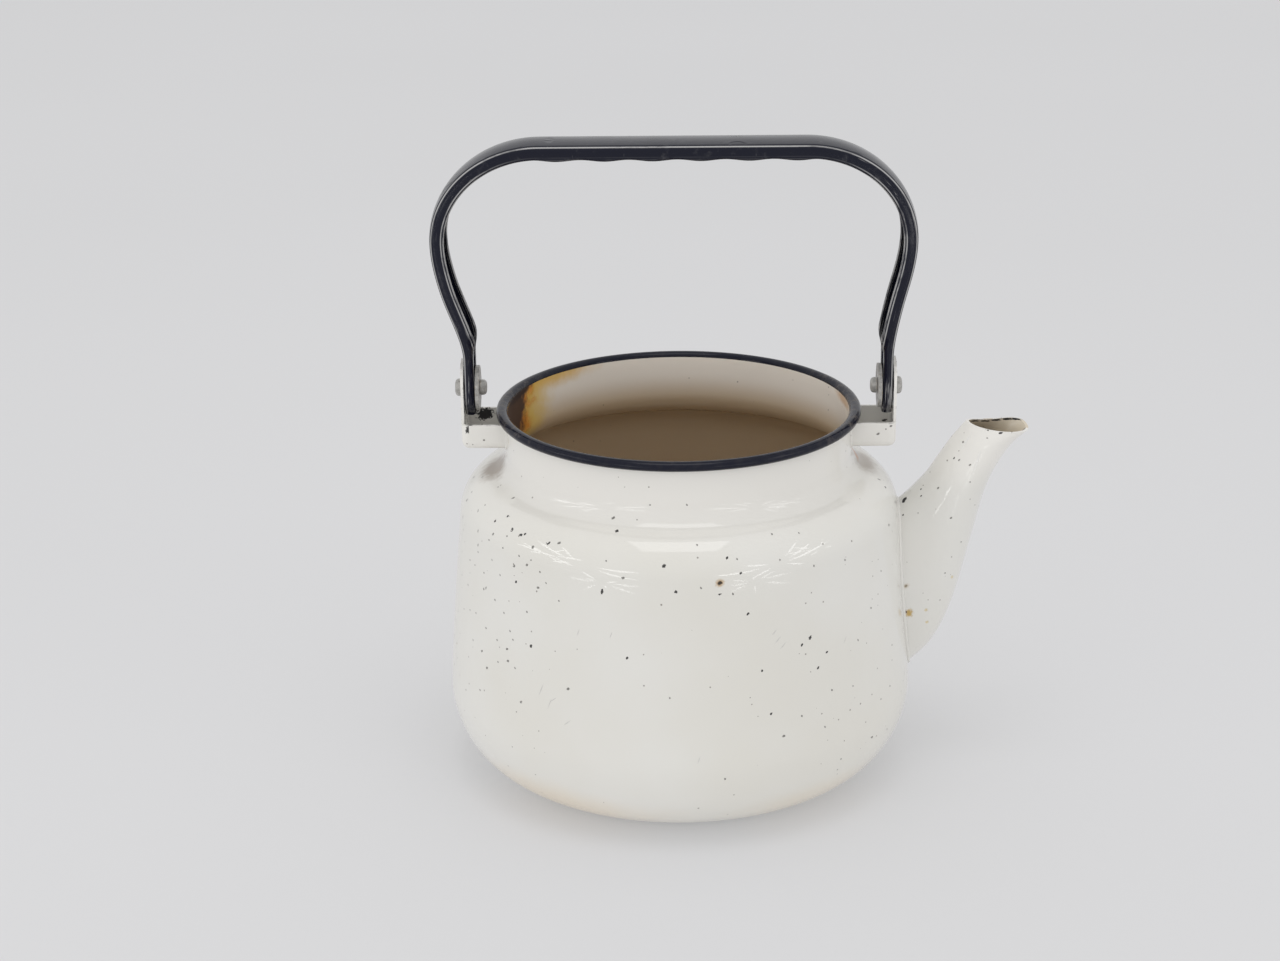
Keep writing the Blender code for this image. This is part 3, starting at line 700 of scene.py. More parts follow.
def grown(name, points, edges, tree, **values):
    """Run a node tree on a chain of points and keep the result as a plain object."""
    mesh = bpy.data.meshes.new(name)
    mesh.from_pydata(points, edges, [])
    obj = link(bpy.data.objects.new(name, mesh))
    modifier = obj.modifiers.new(tree.name, "NODES")
    modifier.node_group = tree
    named = {key.replace("_", " ").lower(): value for key, value in values.items()}
    for item in tree.interface.items_tree:
        if item.in_out == "INPUT" and item.name.lower() in named:
            modifier[item.identifier] = named[item.name.lower()]
    return settle(obj)


def chain(count, closed=False):
    edges = [(index, index + 1) for index in range(count - 1)]
    return edges + [(count - 1, 0)] if closed else edges


def turned(name, profile, segments, finish, rim_finish=None, rim_from=1.0):
    """A sheet spun round Z from (radius, height) points; one that starts off the axis is closed to a ring."""
    if profile[0][0] > 0:
        profile = profile + [profile[0]]
    points = [(radius, 0, height) for radius, height in profile]
    made = grown(
        name, points, chain(len(points)), tree_named("turned_sheet", turned_tree), segments=segments,
        sheet_finish=finish, rim_finish=rim_finish or finish, rim_from=rim_from,
    )
    return face_out(made)


def face_out(obj):
    """Turn a closed piece's faces outwards and take away slivers."""
    bm = bmesh.new()
    bm.from_mesh(obj.data)
    bmesh.ops.dissolve_degenerate(bm, edges=bm.edges, dist=SEAM_MERGE)
    bmesh.ops.recalc_face_normals(bm, faces=bm.faces)
    bm.to_mesh(obj.data)
    bm.free()
    return obj


def sheet_bmesh(stations):
    """A bent sheet: each station holds its outer and its inner line, point for point."""
    bm = bmesh.new()
    rings = [[bm.verts.new(point) for point in outer + inner[::-1]] for outer, inner in stations]
    count = len(rings[0])
    for first, second in zip(rings, rings[1:]):
        for index in range(count):
            after = (index + 1) % count
            bm.faces.new((first[index], first[after], second[after], second[index]))
    for ring in (rings[0], rings[-1]):
        for index in range(count // 2 - 1):
            bm.faces.new((ring[index], ring[index + 1], ring[-index - 2], ring[-index - 1]))
    return bm


def box_bmesh(side, inner_x, outer_x, half_depth, bottom, top):
    """A box on the +X or the -X side of the kettle."""
    near, far = sorted((side * inner_x, side * outer_x))
    size = Vector((far - near, 2 * half_depth, top - bottom))
    bm = bmesh.new()
    bmesh.ops.create_cube(bm, size=1.0, matrix=Matrix.Diagonal(size.to_4d()))
    bmesh.ops.translate(bm, verts=bm.verts, vec=((near + far) / 2, 0, (bottom + top) / 2))
    return bm


def round_tray_edges(bm, side, outer_x, bottom, radius):
    """Round the edges round a tray's outer wall and its floor."""
    def on_outer(vert):
        return math.isclose(vert.co.x, side * outer_x, abs_tol=CLEAR)

    def on_floor(vert):
        return math.isclose(vert.co.z, bottom, abs_tol=CLEAR)

    def rounded(edge):
        first, second = edge.verts
        direction = (first.co - second.co).normalized()
        if abs(direction.z) > ALONG_AXIS:
            return on_outer(first)
        if abs(direction.x) > ALONG_AXIS:
            return on_floor(first)
        return on_outer(first) and on_floor(first)

    edges = [edge for edge in bm.edges if rounded(edge)]
    bmesh.ops.bevel(bm, geom=edges, offset=radius, segments=TRAY_EDGE_STEPS, profile=0.5, affect="EDGES")
    return bm


def tab_bmesh(s, side):
    """What is cut away round the rounded tab: a plate with a tab-shaped bite."""
    half = s.tab_width / 2
    outer_half = s.ear_depth / 2 + OVERRUN
    above = s.tab_top + OVERRUN
    outline = [(half, s.ear_top), (outer_half, s.ear_top), (outer_half, above)]
    outline += [(-outer_half, above), (-outer_half, s.ear_top), (-half, s.ear_top)]
    for step in range(TAB_STEPS + 1):
        angle = math.pi * (1 - step / TAB_STEPS)
        outline.append((half * math.cos(angle), s.tab_top - half + half * math.sin(angle)))
    bm = bmesh.new()
    start_x = side * (s.ear_outer_x - s.sheet - OVERRUN)
    face = bm.faces.new([bm.verts.new((start_x, across, up)) for across, up in outline])
    made = bmesh.ops.extrude_face_region(bm, geom=[face])
    moved = [item for item in made["geom"] if isinstance(item, bmesh.types.BMVert)]
    bmesh.ops.translate(bm, verts=moved, vec=(side * (s.sheet + 2 * OVERRUN), 0, 0))
    return bm


def along_x(obj, height):
    """Lay a piece that was turned round Z along X, at a height above the floor."""
    obj.data.transform(Matrix.Translation((0, 0, height)) @ Matrix.Rotation(math.pi / 2, 4, "Y"))
    return obj


def pivot_pin(s, finish):
    reach = s.ear_outer_x + OVERRUN
    radius = s.shank_radius + CLEAR
    profile = [(0, -reach), (radius, -reach), (radius, reach), (0, reach)]
    return along_x(turned("pivot_pin", profile, RIVET_SEGMENTS, finish), s.pivot_height)


def dome_points(radius, rise, face_x):
    """A rivet head's rounded outline from its flat face to its crown on the axis."""
    angles = [math.pi / 2 * step / HEAD_STEPS for step in range(HEAD_STEPS)]
    points = [
        (radius * math.cos(angle) ** HEAD_SQUARENESS, face_x + rise * math.sin(angle) ** HEAD_SQUARENESS)
        for angle in angles
    ]
    return points + [(0, face_x + rise)]


def vector_calc(operation, first, second=(0.0, 0.0, 0.0)):
    node = add(first.id_data, "ShaderNodeVectorMath", {"operation": operation}, i0=first, i1=second)
    return node.outputs["Value" if operation in {"LENGTH", "DOT_PRODUCT"} else "Vector"]


def ramp(value, start, end, low=0.0, high=1.0):
    """A smooth step from one value to another."""
    settings = {"interpolation_type": "SMOOTHSTEP", "clamp": True}
    inputs = {"Value": value, "From_Min": start, "From_Max": end, "To_Min": low, "To_Max": high}
    return add(value.id_data, "ShaderNodeMapRange", settings, **inputs).outputs["Result"]


def band(value, middle, half, soft):
    """1 where a value lies near the middle of a band, 0 away from it."""
    return ramp(calc("ABSOLUTE", minus(value, middle)), half + soft, half)


def mixed(factor, first, second):
    settings = {"data_type": "RGBA", "clamp_factor": True}
    return add(factor.id_data, "ShaderNodeMix", settings, i0=factor, i6=first, i7=second).outputs[2]


def toned(tone, shares):
    return tuple(channel * share for channel, share in zip(tone, shares))


def noise(point, scale, detail=2.0, roughness=0.5, stretch=None):
    if stretch is not None:
        point = vector_calc("MULTIPLY", point, stretch)
    inputs = {"Vector": point, "Scale": scale, "Detail": detail, "Roughness": roughness}
    return add(point.id_data, "ShaderNodeTexNoise", **inputs).outputs[0]


# Patterns by name: the scale, detail, roughness and stretch of a noise, then where its ramp starts and ends and from
# what value to what
PATTERNS = {
    "cream": ((14.0, 3.0), (0.3, 0.7)),
    "smudge": ((60.0, 5.0, 0.65), (0.35, 0.75)),
    "rubbed": ((150.0, 5.0, 0.7), (0.56, 0.76)),
    "scratched": ((700.0, 3.0, 0.6, (1.0, 1.0, 0.12)), (0.66, 0.72)),
    "rim": ((240.0, 5.0, 0.7), (0.46, 0.66, 0.0, 0.6)),
    # Breaks in the grey lines along the handle's folds and lips, which are painted highlights, the folds' partly wear
    "fold": ((330.0, 4.0, 0.65, (0.25, 1.0, 1.0)), (0.30, 0.48, 0.45, 1.0)),
    "lip": ((330.0, 4.0, 0.65, (0.25, 1.0, 1.0)), (0.36, 0.52, 0.15, 0.8)),
    "bend": ((620.0, 4.0, 0.6, (0.07, 1.0, 1.0)), (0.60, 0.68, 0.0, 0.7)),
    "foot": ((620.0, 4.0, 0.6, (0.07, 1.0, 1.0)), (0.54, 0.62, 0.0, 0.45)),
    "dent": ((85.0, 1.0), (0.62, 0.70, 0.0, 9.0)),
    "steel": ((500.0, 4.0, 0.65), (0.35, 0.7)),
    "pit": ((1500.0, 2.0), (0.62, 0.7)),
    "paper": ((1.3, 2.0), (0.3, 0.7)),
}
PEEL_NOISE = (420.0, 2.0)
WAVE_NOISE = (34.0, 1.0)
WAVE_HEIGHT = 9.0
MARK_NOISE = (1300.0, 3.0, 0.6)
STAIN_NOISE = (4.0, 0.6)
EDGE_NOISE = (3.0, 0.6)
EDGE_TURN = (0.01, 0.12)
EDGE_BREAKS = (0.66, 0.74)


def pattern(point, name):
    """Soft patches of a named noise."""
    grain, step = PATTERNS[name]
    return ramp(noise(point, *grain), *step)


def mark_tree(name):
    """One mark in the enamel: a ragged spot round a place, and a halo round it."""
    inputs = {"Point": "Vector", "Place": "Vector", "Pull": "Vector", "Form": "Vector"}
    tree, given, out = new_tree(name, "ShaderNodeTree", inputs, {"Spot": "Float", "Halo": "Float"})
    form = axes(given["Form"])
    away = vector_calc("SUBTRACT", given["Point"], given["Place"])
    along = vector_calc("DOT_PRODUCT", away, given["Pull"])
    pulled = add(tree, "ShaderNodeVectorMath", {"operation": "SCALE"}, i0=given["Pull"], Scale=along).outputs[0]
    distance = vector_calc("LENGTH", vector_calc("SUBTRACT", away, pulled))
    ratio = over(distance, larger(form["X"], LEAST_MARK))
    ratio = plus(ratio, times(minus(noise(given["Point"], *MARK_NOISE), 0.5), MARK_RAGGEDNESS))
    spot = over(minus(plus(form["Y"], 1.0), ratio), times(larger(form["Y"], LEAST_SOFTNESS), 2.0))
    join(add(tree, "ShaderNodeClamp", Value=spot).outputs[0], out["Spot"])
    join(times(ramp(ratio, HALO_REACH, 1.0), form["Z"]), out["Halo"])
    return tree


def stain_tree(name):
    """A soft ragged patch round a place on the object."""
    inputs = {
        "Point": "Vector", "Centre": "Vector", "Size": "Vector", "Softness": "Float", "Ragged": "Float",
        "Grain": "Float",
    }
    tree, given, out = new_tree(name, "ShaderNodeTree", inputs, {"Patch": "Float"})
    away = vector_calc("DIVIDE", vector_calc("SUBTRACT", given["Point"], given["Centre"]), given["Size"])
    grain = noise(given["Point"], given["Grain"], *STAIN_NOISE)
    ratio = plus(vector_calc("LENGTH", away), times(minus(grain, 0.5), given["Ragged"]))
    join(ramp(ratio, plus(given["Softness"], 1.0), minus(1.0, given["Softness"])), out["Patch"])
    return tree


def edge_tree(name):
    """Wear along a piece's edges: a broken mask where the surface turns sharply."""
    inputs = {"Point": "Vector", "Radius": "Float", "Amount": "Float", "Grain": "Float"}
    tree, given, out = new_tree(name, "ShaderNodeTree", inputs, {"Wear": "Float"})
    rounded = add(tree, "ShaderNodeBevel", {"samples": 4}, Radius=given["Radius"]).outputs[0]
    flat = tree.nodes.new("ShaderNodeNewGeometry").outputs["Normal"]
    edge = ramp(minus(1.0, vector_calc("DOT_PRODUCT", rounded, flat)), *EDGE_TURN)
    grain = noise(given["Point"], given["Grain"], *EDGE_NOISE)
    broken = ramp(plus(grain, times(given["Amount"], 0.5)), *EDGE_BREAKS)
    join(times(edge, broken), out["Wear"])
    return tree


def grain_tree(name):
    """The enamel's surface: orange peel, slow waves and smudges."""
    inputs = {"Point": "Vector", "Peel": "Float", "Wave": "Float"}
    tree, given, out = new_tree(name, "ShaderNodeTree", inputs, {"Height": "Float", "Smudge": "Float"})
    point = given["Point"]
    peel = times(noise(point, *PEEL_NOISE), given["Peel"])
    wave = times(noise(point, *WAVE_NOISE), times(given["Wave"], WAVE_HEIGHT))
    join(plus(peel, wave), out["Height"])
    join(pattern(point, "smudge"), out["Smudge"])
    return tree


def placed(tree, name, maker, **inputs):
    """Put a shared group into a material with its own values."""
    return add(tree, "ShaderNodeGroup", {"node_tree": tree_named(name, maker)}, **inputs).outputs


def read_attribute(tree, name, output="Vector"):
    return add(tree, "ShaderNodeAttribute", {"attribute_name": name}).outputs[output]


def made_once(maker):
    """A material is made at its first use and found by its name after that."""
    @functools.wraps(maker)
    def found(name, *options):
        return bpy.data.materials.get(name) or maker(name, *options)

    return found


def new_material(name):
    """A new material with its shader and the object's own coordinates."""
    material = bpy.data.materials.new(name)
    material.use_nodes = True
    tree = material.node_tree
    return material, tree, tree.nodes["Principled BSDF"], tree.nodes.new("ShaderNodeTexCoord").outputs["Object"]


def dress(shader, colour, roughness, relief, depth=RELIEF_DEPTH):
    """Wire a colour, a roughness and a relief into a shader."""
    bump = add(shader.id_data, "ShaderNodeBump", Height=relief, Distance=depth, Strength=1.0)
    for name, value in (("Base Color", colour), ("Roughness", roughness), ("Normal", bump.outputs[0])):
        join(value, shader.inputs[name])


# Stains on the cream enamel, those under the ears partly painted shadow: centre and half sizes in metres, softness,
# raggedness, grain, colour, strength, whether it lies inside the kettle (1) or outside (0), and how matt it is
STAINS = {
    "yellow": ((-0.0696, 0.0024, 0.1470), (0.034, 0.0400, 0.030), 0.28, 0.45, 90.0, (0.68, 0.46, 0.085), 0.90, 1, 0.15),
    "rim_streak": (
        (-0.0545, 0.0430, 0.1540), (0.022, 0.0200, 0.0052), 0.60, 0.80, 140.0, (0.66, 0.40, 0.07), 0.85, 1, 0.2),
    "orange_edge": (
        (-0.0696, 0.0024, 0.1480), (0.026, 0.0285, 0.026), 0.18, 1.00, 130.0, (0.56, 0.19, 0.014), 0.92, 1, 0.5),
    "burn": ((-0.0696, 0.0024, 0.1490), (0.023, 0.0240, 0.024), 0.14, 0.95, 210.0, (0.034, 0.020, 0.015), 0.94, 1, 0.9),
    "rim_burn": (
        (-0.0672, 0.0180, 0.1540), (0.012, 0.0170, 0.0040), 0.20, 0.80, 300.0, (0.030, 0.014, 0.009), 0.95, 1, 0.9),
    "low_orange": (
        (-0.0690, -0.0060, 0.1400), (0.010, 0.0100, 0.0040), 0.50, 1.20, 260.0, (0.58, 0.17, 0.010), 0.80, 1, 0.5),
    "right_rust": ((0.0690, 0.0120, 0.1515), (0.008, 0.010, 0.0022), 0.5, 0.9, 300.0, (0.50, 0.24, 0.06), 0.6, 1, 0.3),
    # Under each ear the neck is darkened: partly a stain, partly the ear's shadow painted in
    "rear_ear_stain_and_shadow": (
        (-0.0752, -0.0030, 0.1288), (0.0065, 0.012, 0.0055), 0.5, 0.9, 260.0, (0.22, 0.16, 0.11), 0.70, 0, 0.3),
    "front_ear_stain_and_shadow": (
        (0.0760, 0.0045, 0.1285), (0.0065, 0.012, 0.0050), 0.5, 0.9, 260.0, (0.25, 0.18, 0.12), 0.55, 0, 0.3),
    "front_ear_line": (
        (0.0745, 0.0100, 0.1297), (0.008, 0.010, 0.0008), 0.4, 0.6, 500.0, (0.42, 0.17, 0.03), 0.7, 0, 0.3),
    "base_left": ((-0.0420, -0.0600, 0.0100), (0.040, 0.030, 0.0095), 0.7, 0.5, 60.0, (0.74, 0.53, 0.27), 0.30, 0, 0.1),
    "base_right": ((0.0480, -0.0560, 0.0100), (0.030, 0.030, 0.0085), 0.7, 0.5, 60.0, (0.74, 0.55, 0.30), 0.22, 0, 0.1),
    "spout_inside": (
        (0.1290, 0.0020, 0.1440), (0.020, 0.012, 0.0100), 0.5, 0.6, 260.0, (0.46, 0.38, 0.24), 0.55, 1, 0.3),
}

# Where the enamel is gone from the far lip of the spout's mouth: middle, half sizes, softness, raggedness and grain
BARE_LIP = ((0.1300, 0.0060, 0.1490), (0.0150, 0.0075, 0.0050), 0.3, 0.5, 300.0)

# Heights between which the cream is painted paler towards the neck, a painted brightening of the neck that the rolled
# rim and the shoulder shade, and the lining fades out towards the rim
NECK_BRIGHTENING_HEIGHTS = (0.118, 0.134)
LINING_HEIGHTS = (0.1460, 0.1320)
NECK_BRIGHTENING_SHARES = (1.07, 1.06, 1.055)
DULLER_SHARES = (0.965, 0.955, 0.93)
LINING_SHARES = (0.04, 0.85)
GLAZE_ROUGHNESS = 0.025

# Specks all over the cream: cells to a metre, how they thin out towards the middle, how wide they are and how soft
SPECK_CELLS = 430.0
SPECK_SPREAD = (0.020, 0.080)
SPECK_MIDDLE_SHARE = 0.2
SPECK_LEAST, SPECK_GROWTH = 0.07, 0.11
SPECK_EDGE = (0.015, -0.03)
SPECK_TONE = (0.16, 0.14, 0.12)
SPECK_COVER, SPECK_MATT, SPECK_PIT = 0.75, 0.3, 2.0
MARK_MATT, MARK_PIT = 0.45, 5.0
CREAM_WEAR, BARE_WEAR, CREAM_WEAR_COVER = 0.2, 0.5, 0.85


def stain(tree, point, centre, size, softness, ragged, grain):
    inputs = {"Point": point, "Centre": centre, "Size": size, "Softness": softness, "Ragged": ragged, "Grain": grain}
    return placed(tree, "stain_patch", stain_tree, **inputs)["Patch"]


@made_once
def cream_enamel(name):
    """Glossy cream enamel with its chips, rust, burn and stains."""
    finish = bpy.context.scene.kettle_finish
    material, tree, shader, point = new_material(name)
    inside = read_attribute(tree, "inside", "Fac")
    places = axes(point)
    colour = mixed(pattern(point, "cream"), finish.cream, toned(finish.cream, DULLER_SHARES))
    # Painted light: the cream is brightened towards the neck, where the rolled rim and the shoulder shade it
    colour = mixed(ramp(places["Z"], *NECK_BRIGHTENING_HEIGHTS), colour, toned(finish.cream, NECK_BRIGHTENING_SHARES))
    # Painted light: inside, the cream gives way to a paler tone that stands in for light on the inside of the neck
    colour = mixed(inside, colour, finish.inner)
    colour = mixed(times(inside, ramp(places["Z"], *LINING_HEIGHTS, *LINING_SHARES)), colour, finish.lining)
    matted = 0.0
    for *patch, tone, strength, within, matt in STAINS.values():
        side = inside if within else minus(1.0, inside)
        cover = times(times(stain(tree, point, *patch), strength), side)
        colour = mixed(cover, colour, tone)
        matted = larger(matted, times(cover, matt))
    cells = add(tree, "ShaderNodeTexVoronoi", {"feature": "F1"}, Vector=point, Scale=SPECK_CELLS)
    chosen = add(tree, "ShaderNodeSeparateColor", Color=cells.outputs["Color"]).outputs
    chances = (finish.speckle * SPECK_MIDDLE_SHARE, finish.speckle)
    chance = ramp(calc("ABSOLUTE", places["X"]), *SPECK_SPREAD, *chances)
    reach = times(calc("GREATER_THAN", chance, chosen[0]), plus(times(chosen[1], SPECK_GROWTH), SPECK_LEAST))
    speck = ramp(minus(cells.outputs["Distance"], reach), *SPECK_EDGE)
    colour = mixed(times(speck, SPECK_COVER), colour, SPECK_TONE)
    roughness = plus(larger(matted, GLAZE_ROUGHNESS), times(speck, SPECK_MATT))
    pits = times(speck, -SPECK_PIT)
    for layer in ("drawn", "strewn"):
        read = {label.capitalize(): read_attribute(tree, layer + "_" + label) for label in ("place", "pull", "form")}
        mark = placed(tree, "enamel_mark", mark_tree, Point=point, **read)
        colour = mixed(mark["Halo"], colour, finish.rust)
        colour = mixed(mark["Spot"], colour, read_attribute(tree, layer + "_tone"))
        roughness = plus(roughness, times(mark["Spot"], MARK_MATT))
        pits = minus(pits, times(mark["Spot"], MARK_PIT))
    amount = plus(CREAM_WEAR, times(stain(tree, point, *BARE_LIP), BARE_WEAR))
    edge = placed(tree, "edge_wear", edge_tree, Point=point, Radius=WORN_EDGE, Amount=amount, Grain=420.0)["Wear"]
    colour = mixed(times(edge, CREAM_WEAR_COVER), colour, finish.ground)
    grain = placed(tree, "enamel_grain", grain_tree, Point=point, Peel=0.07, Wave=0.10)
    dress(shader, colour, plus(roughness, times(grain["Smudge"], 0.015)), plus(grain["Height"], pits))
    return material


# Wear and painted highlights on the handle: the lines along the folds are partly wear and partly painted highlight, the
# lines along the lips are painted highlights. Each band has a middle, a half width and a soft edge, in metres. The
# folds are measured in from the edge and in from the back, the lips and the dents in from the back, the bends and the
# feet by height.
FOLD_WEAR_AND_HIGHLIGHT_BANDS = ((0.0004, 0.00015, 0.0004), (0.0005, 0.00015, 0.0004))
LIP_HIGHLIGHT_BANDS = ((0.0046, 0.0001, 0.00025), (0.0056, 0.0001, 0.0003))
BEND_BAND = (0.2430, 0.0100, 0.0080)
BACK_BAND = (-0.0005, 0.0006, 0.0004)
LIP_HIGHLIGHT_HEIGHTS = (0.2610, 0.2480)
FOOT_HEIGHTS = (0.200, 0.176)
# Grey of the handle's wear and of its painted highlight lines
HANDLE_WORN_AND_HIGHLIGHT_TONE = (0.48, 0.475, 0.47)
RIM_WORN_TONE = (0.20, 0.17, 0.145)
RIM_ENDS = (0.050, 0.072, 0.05, 0.60)
RUBBED_WEAR, SCRATCHED_WEAR = 0.08, 0.10
BLACK_ROUGHNESS, BLACK_SPECULAR = 0.12, 0.22
STEEL_ROUGHNESS = 0.36
STEEL_DULLER_SHARES = (0.62, 0.62, 0.62)
STEEL_PIT_TONE = (0.05, 0.045, 0.04)


def handle_wear(tree, point, worn):
    """Wear along the handle's bends and feet, wear and a painted highlight along its folds, a painted highlight
    along its lips, and the small dents in its back.
    """
    route = read_attribute(tree, "run")
    places = axes(route)
    from_edge, from_back = places["Y"], places["Z"]
    height = axes(point)["Z"]
    fold = times(band(from_edge, *FOLD_WEAR_AND_HIGHLIGHT_BANDS[0]), band(from_back, *FOLD_WEAR_AND_HIGHLIGHT_BANDS[1]))
    lip = larger(band(from_back, *LIP_HIGHLIGHT_BANDS[0]), band(from_back, *LIP_HIGHLIGHT_BANDS[1]))
    lip = times(lip, ramp(height, *LIP_HIGHLIGHT_HEIGHTS))
    # Painted highlights: grey lines along the folds, which are partly wear, and along the rolled lips
    highlight_and_wear_lines = larger(times(fold, pattern(route, "fold")), times(lip, pattern(route, "lip")))
    bends = times(band(height, *BEND_BAND), pattern(route, "bend"))
    feet = times(ramp(height, *FOOT_HEIGHTS), pattern(route, "foot"))
    worn = larger(larger(worn, bends), feet)
    worn = larger(worn, times(highlight_and_wear_lines, bpy.context.scene.kettle_finish.wear))
    return worn, times(band(from_back, *BACK_BAND), pattern(route, "dent"))


@made_once
def black_enamel(name, run=False):
    """Glossy blue-black enamel, worn grey along its bends; grey painted highlights along the handle's folds and lips.
    """
    finish = bpy.context.scene.kettle_finish
    material, tree, shader, point = new_material(name)
    worn = larger(times(pattern(point, "rubbed"), RUBBED_WEAR), times(pattern(point, "scratched"), SCRATCHED_WEAR))
    dents = 0.0
    if run:
        worn, dents = handle_wear(tree, point, worn)
    else:
        ends = ramp(calc("ABSOLUTE", axes(point)["X"]), *RIM_ENDS)
        worn = larger(worn, times(ends, pattern(point, "rim")))
    # On the handle this grey also carries the painted highlight lines along the folds and lips
    colour = mixed(worn, finish.black, HANDLE_WORN_AND_HIGHLIGHT_TONE if run else RIM_WORN_TONE)
    grain = placed(tree, "enamel_grain", grain_tree, Point=point, Peel=1.4, Wave=1.0)
    roughness = plus(BLACK_ROUGHNESS, plus(times(worn, 0.5), times(grain["Smudge"], 0.10)))
    shader.inputs["Specular IOR Level"].default_value = BLACK_SPECULAR
    dress(shader, colour, roughness, minus(minus(grain["Height"], dents), times(worn, 2.0)))
    return material


@made_once
def bare_steel(name):
    """Dull steel with dark specks and a little rust at its edges."""
    finish = bpy.context.scene.kettle_finish
    material, tree, shader, point = new_material(name)
    cloud = pattern(point, "steel")
    colour = mixed(cloud, finish.steel, toned(finish.steel, STEEL_DULLER_SHARES))
    edge = placed(tree, "edge_wear", edge_tree, Point=point, Radius=WORN_EDGE, Amount=0.3, Grain=900.0)["Wear"]
    colour = mixed(times(edge, 0.5), colour, finish.rust)
    pits = pattern(point, "pit")
    colour = mixed(times(pits, 0.5), colour, STEEL_PIT_TONE)
    dress(shader, colour, plus(STEEL_ROUGHNESS, times(cloud, 0.2)), minus(cloud, pits), 1.5 * RELIEF_DEPTH)
    return material


# Kinds of mark in the enamel: colour, softness of its outline and strength of its rusty halo
MARK_KINDS = {
    "chip": ((0.045, 0.043, 0.042), 0.15, 0.0),
    "speck": ((0.17, 0.165, 0.15), 0.35, 0.0),
    # Painted highlight: a light streak that stands for a reflection on the enamel, not a scuff
    "painted_highlight": ((0.78, 0.775, 0.75), 0.6, 0.0),
    "rust": ((0.085, 0.045, 0.020), 0.35, 0.45),
    "halo": ((0.30, 0.26, 0.19), 0.40, 0.25),
    "patch": ((0.012, 0.012, 0.013), 0.10, 0.0),
    "scratch": ((0.55, 0.54, 0.52), 0.7, 0.0),
    "stain": ((0.62, 0.50, 0.26), 0.9, 0.0),
    "star": ((0.040, 0.026, 0.016), 0.3, 0.70),
    "blot": ((0.50, 0.34, 0.11), 0.5, 0.0),
}

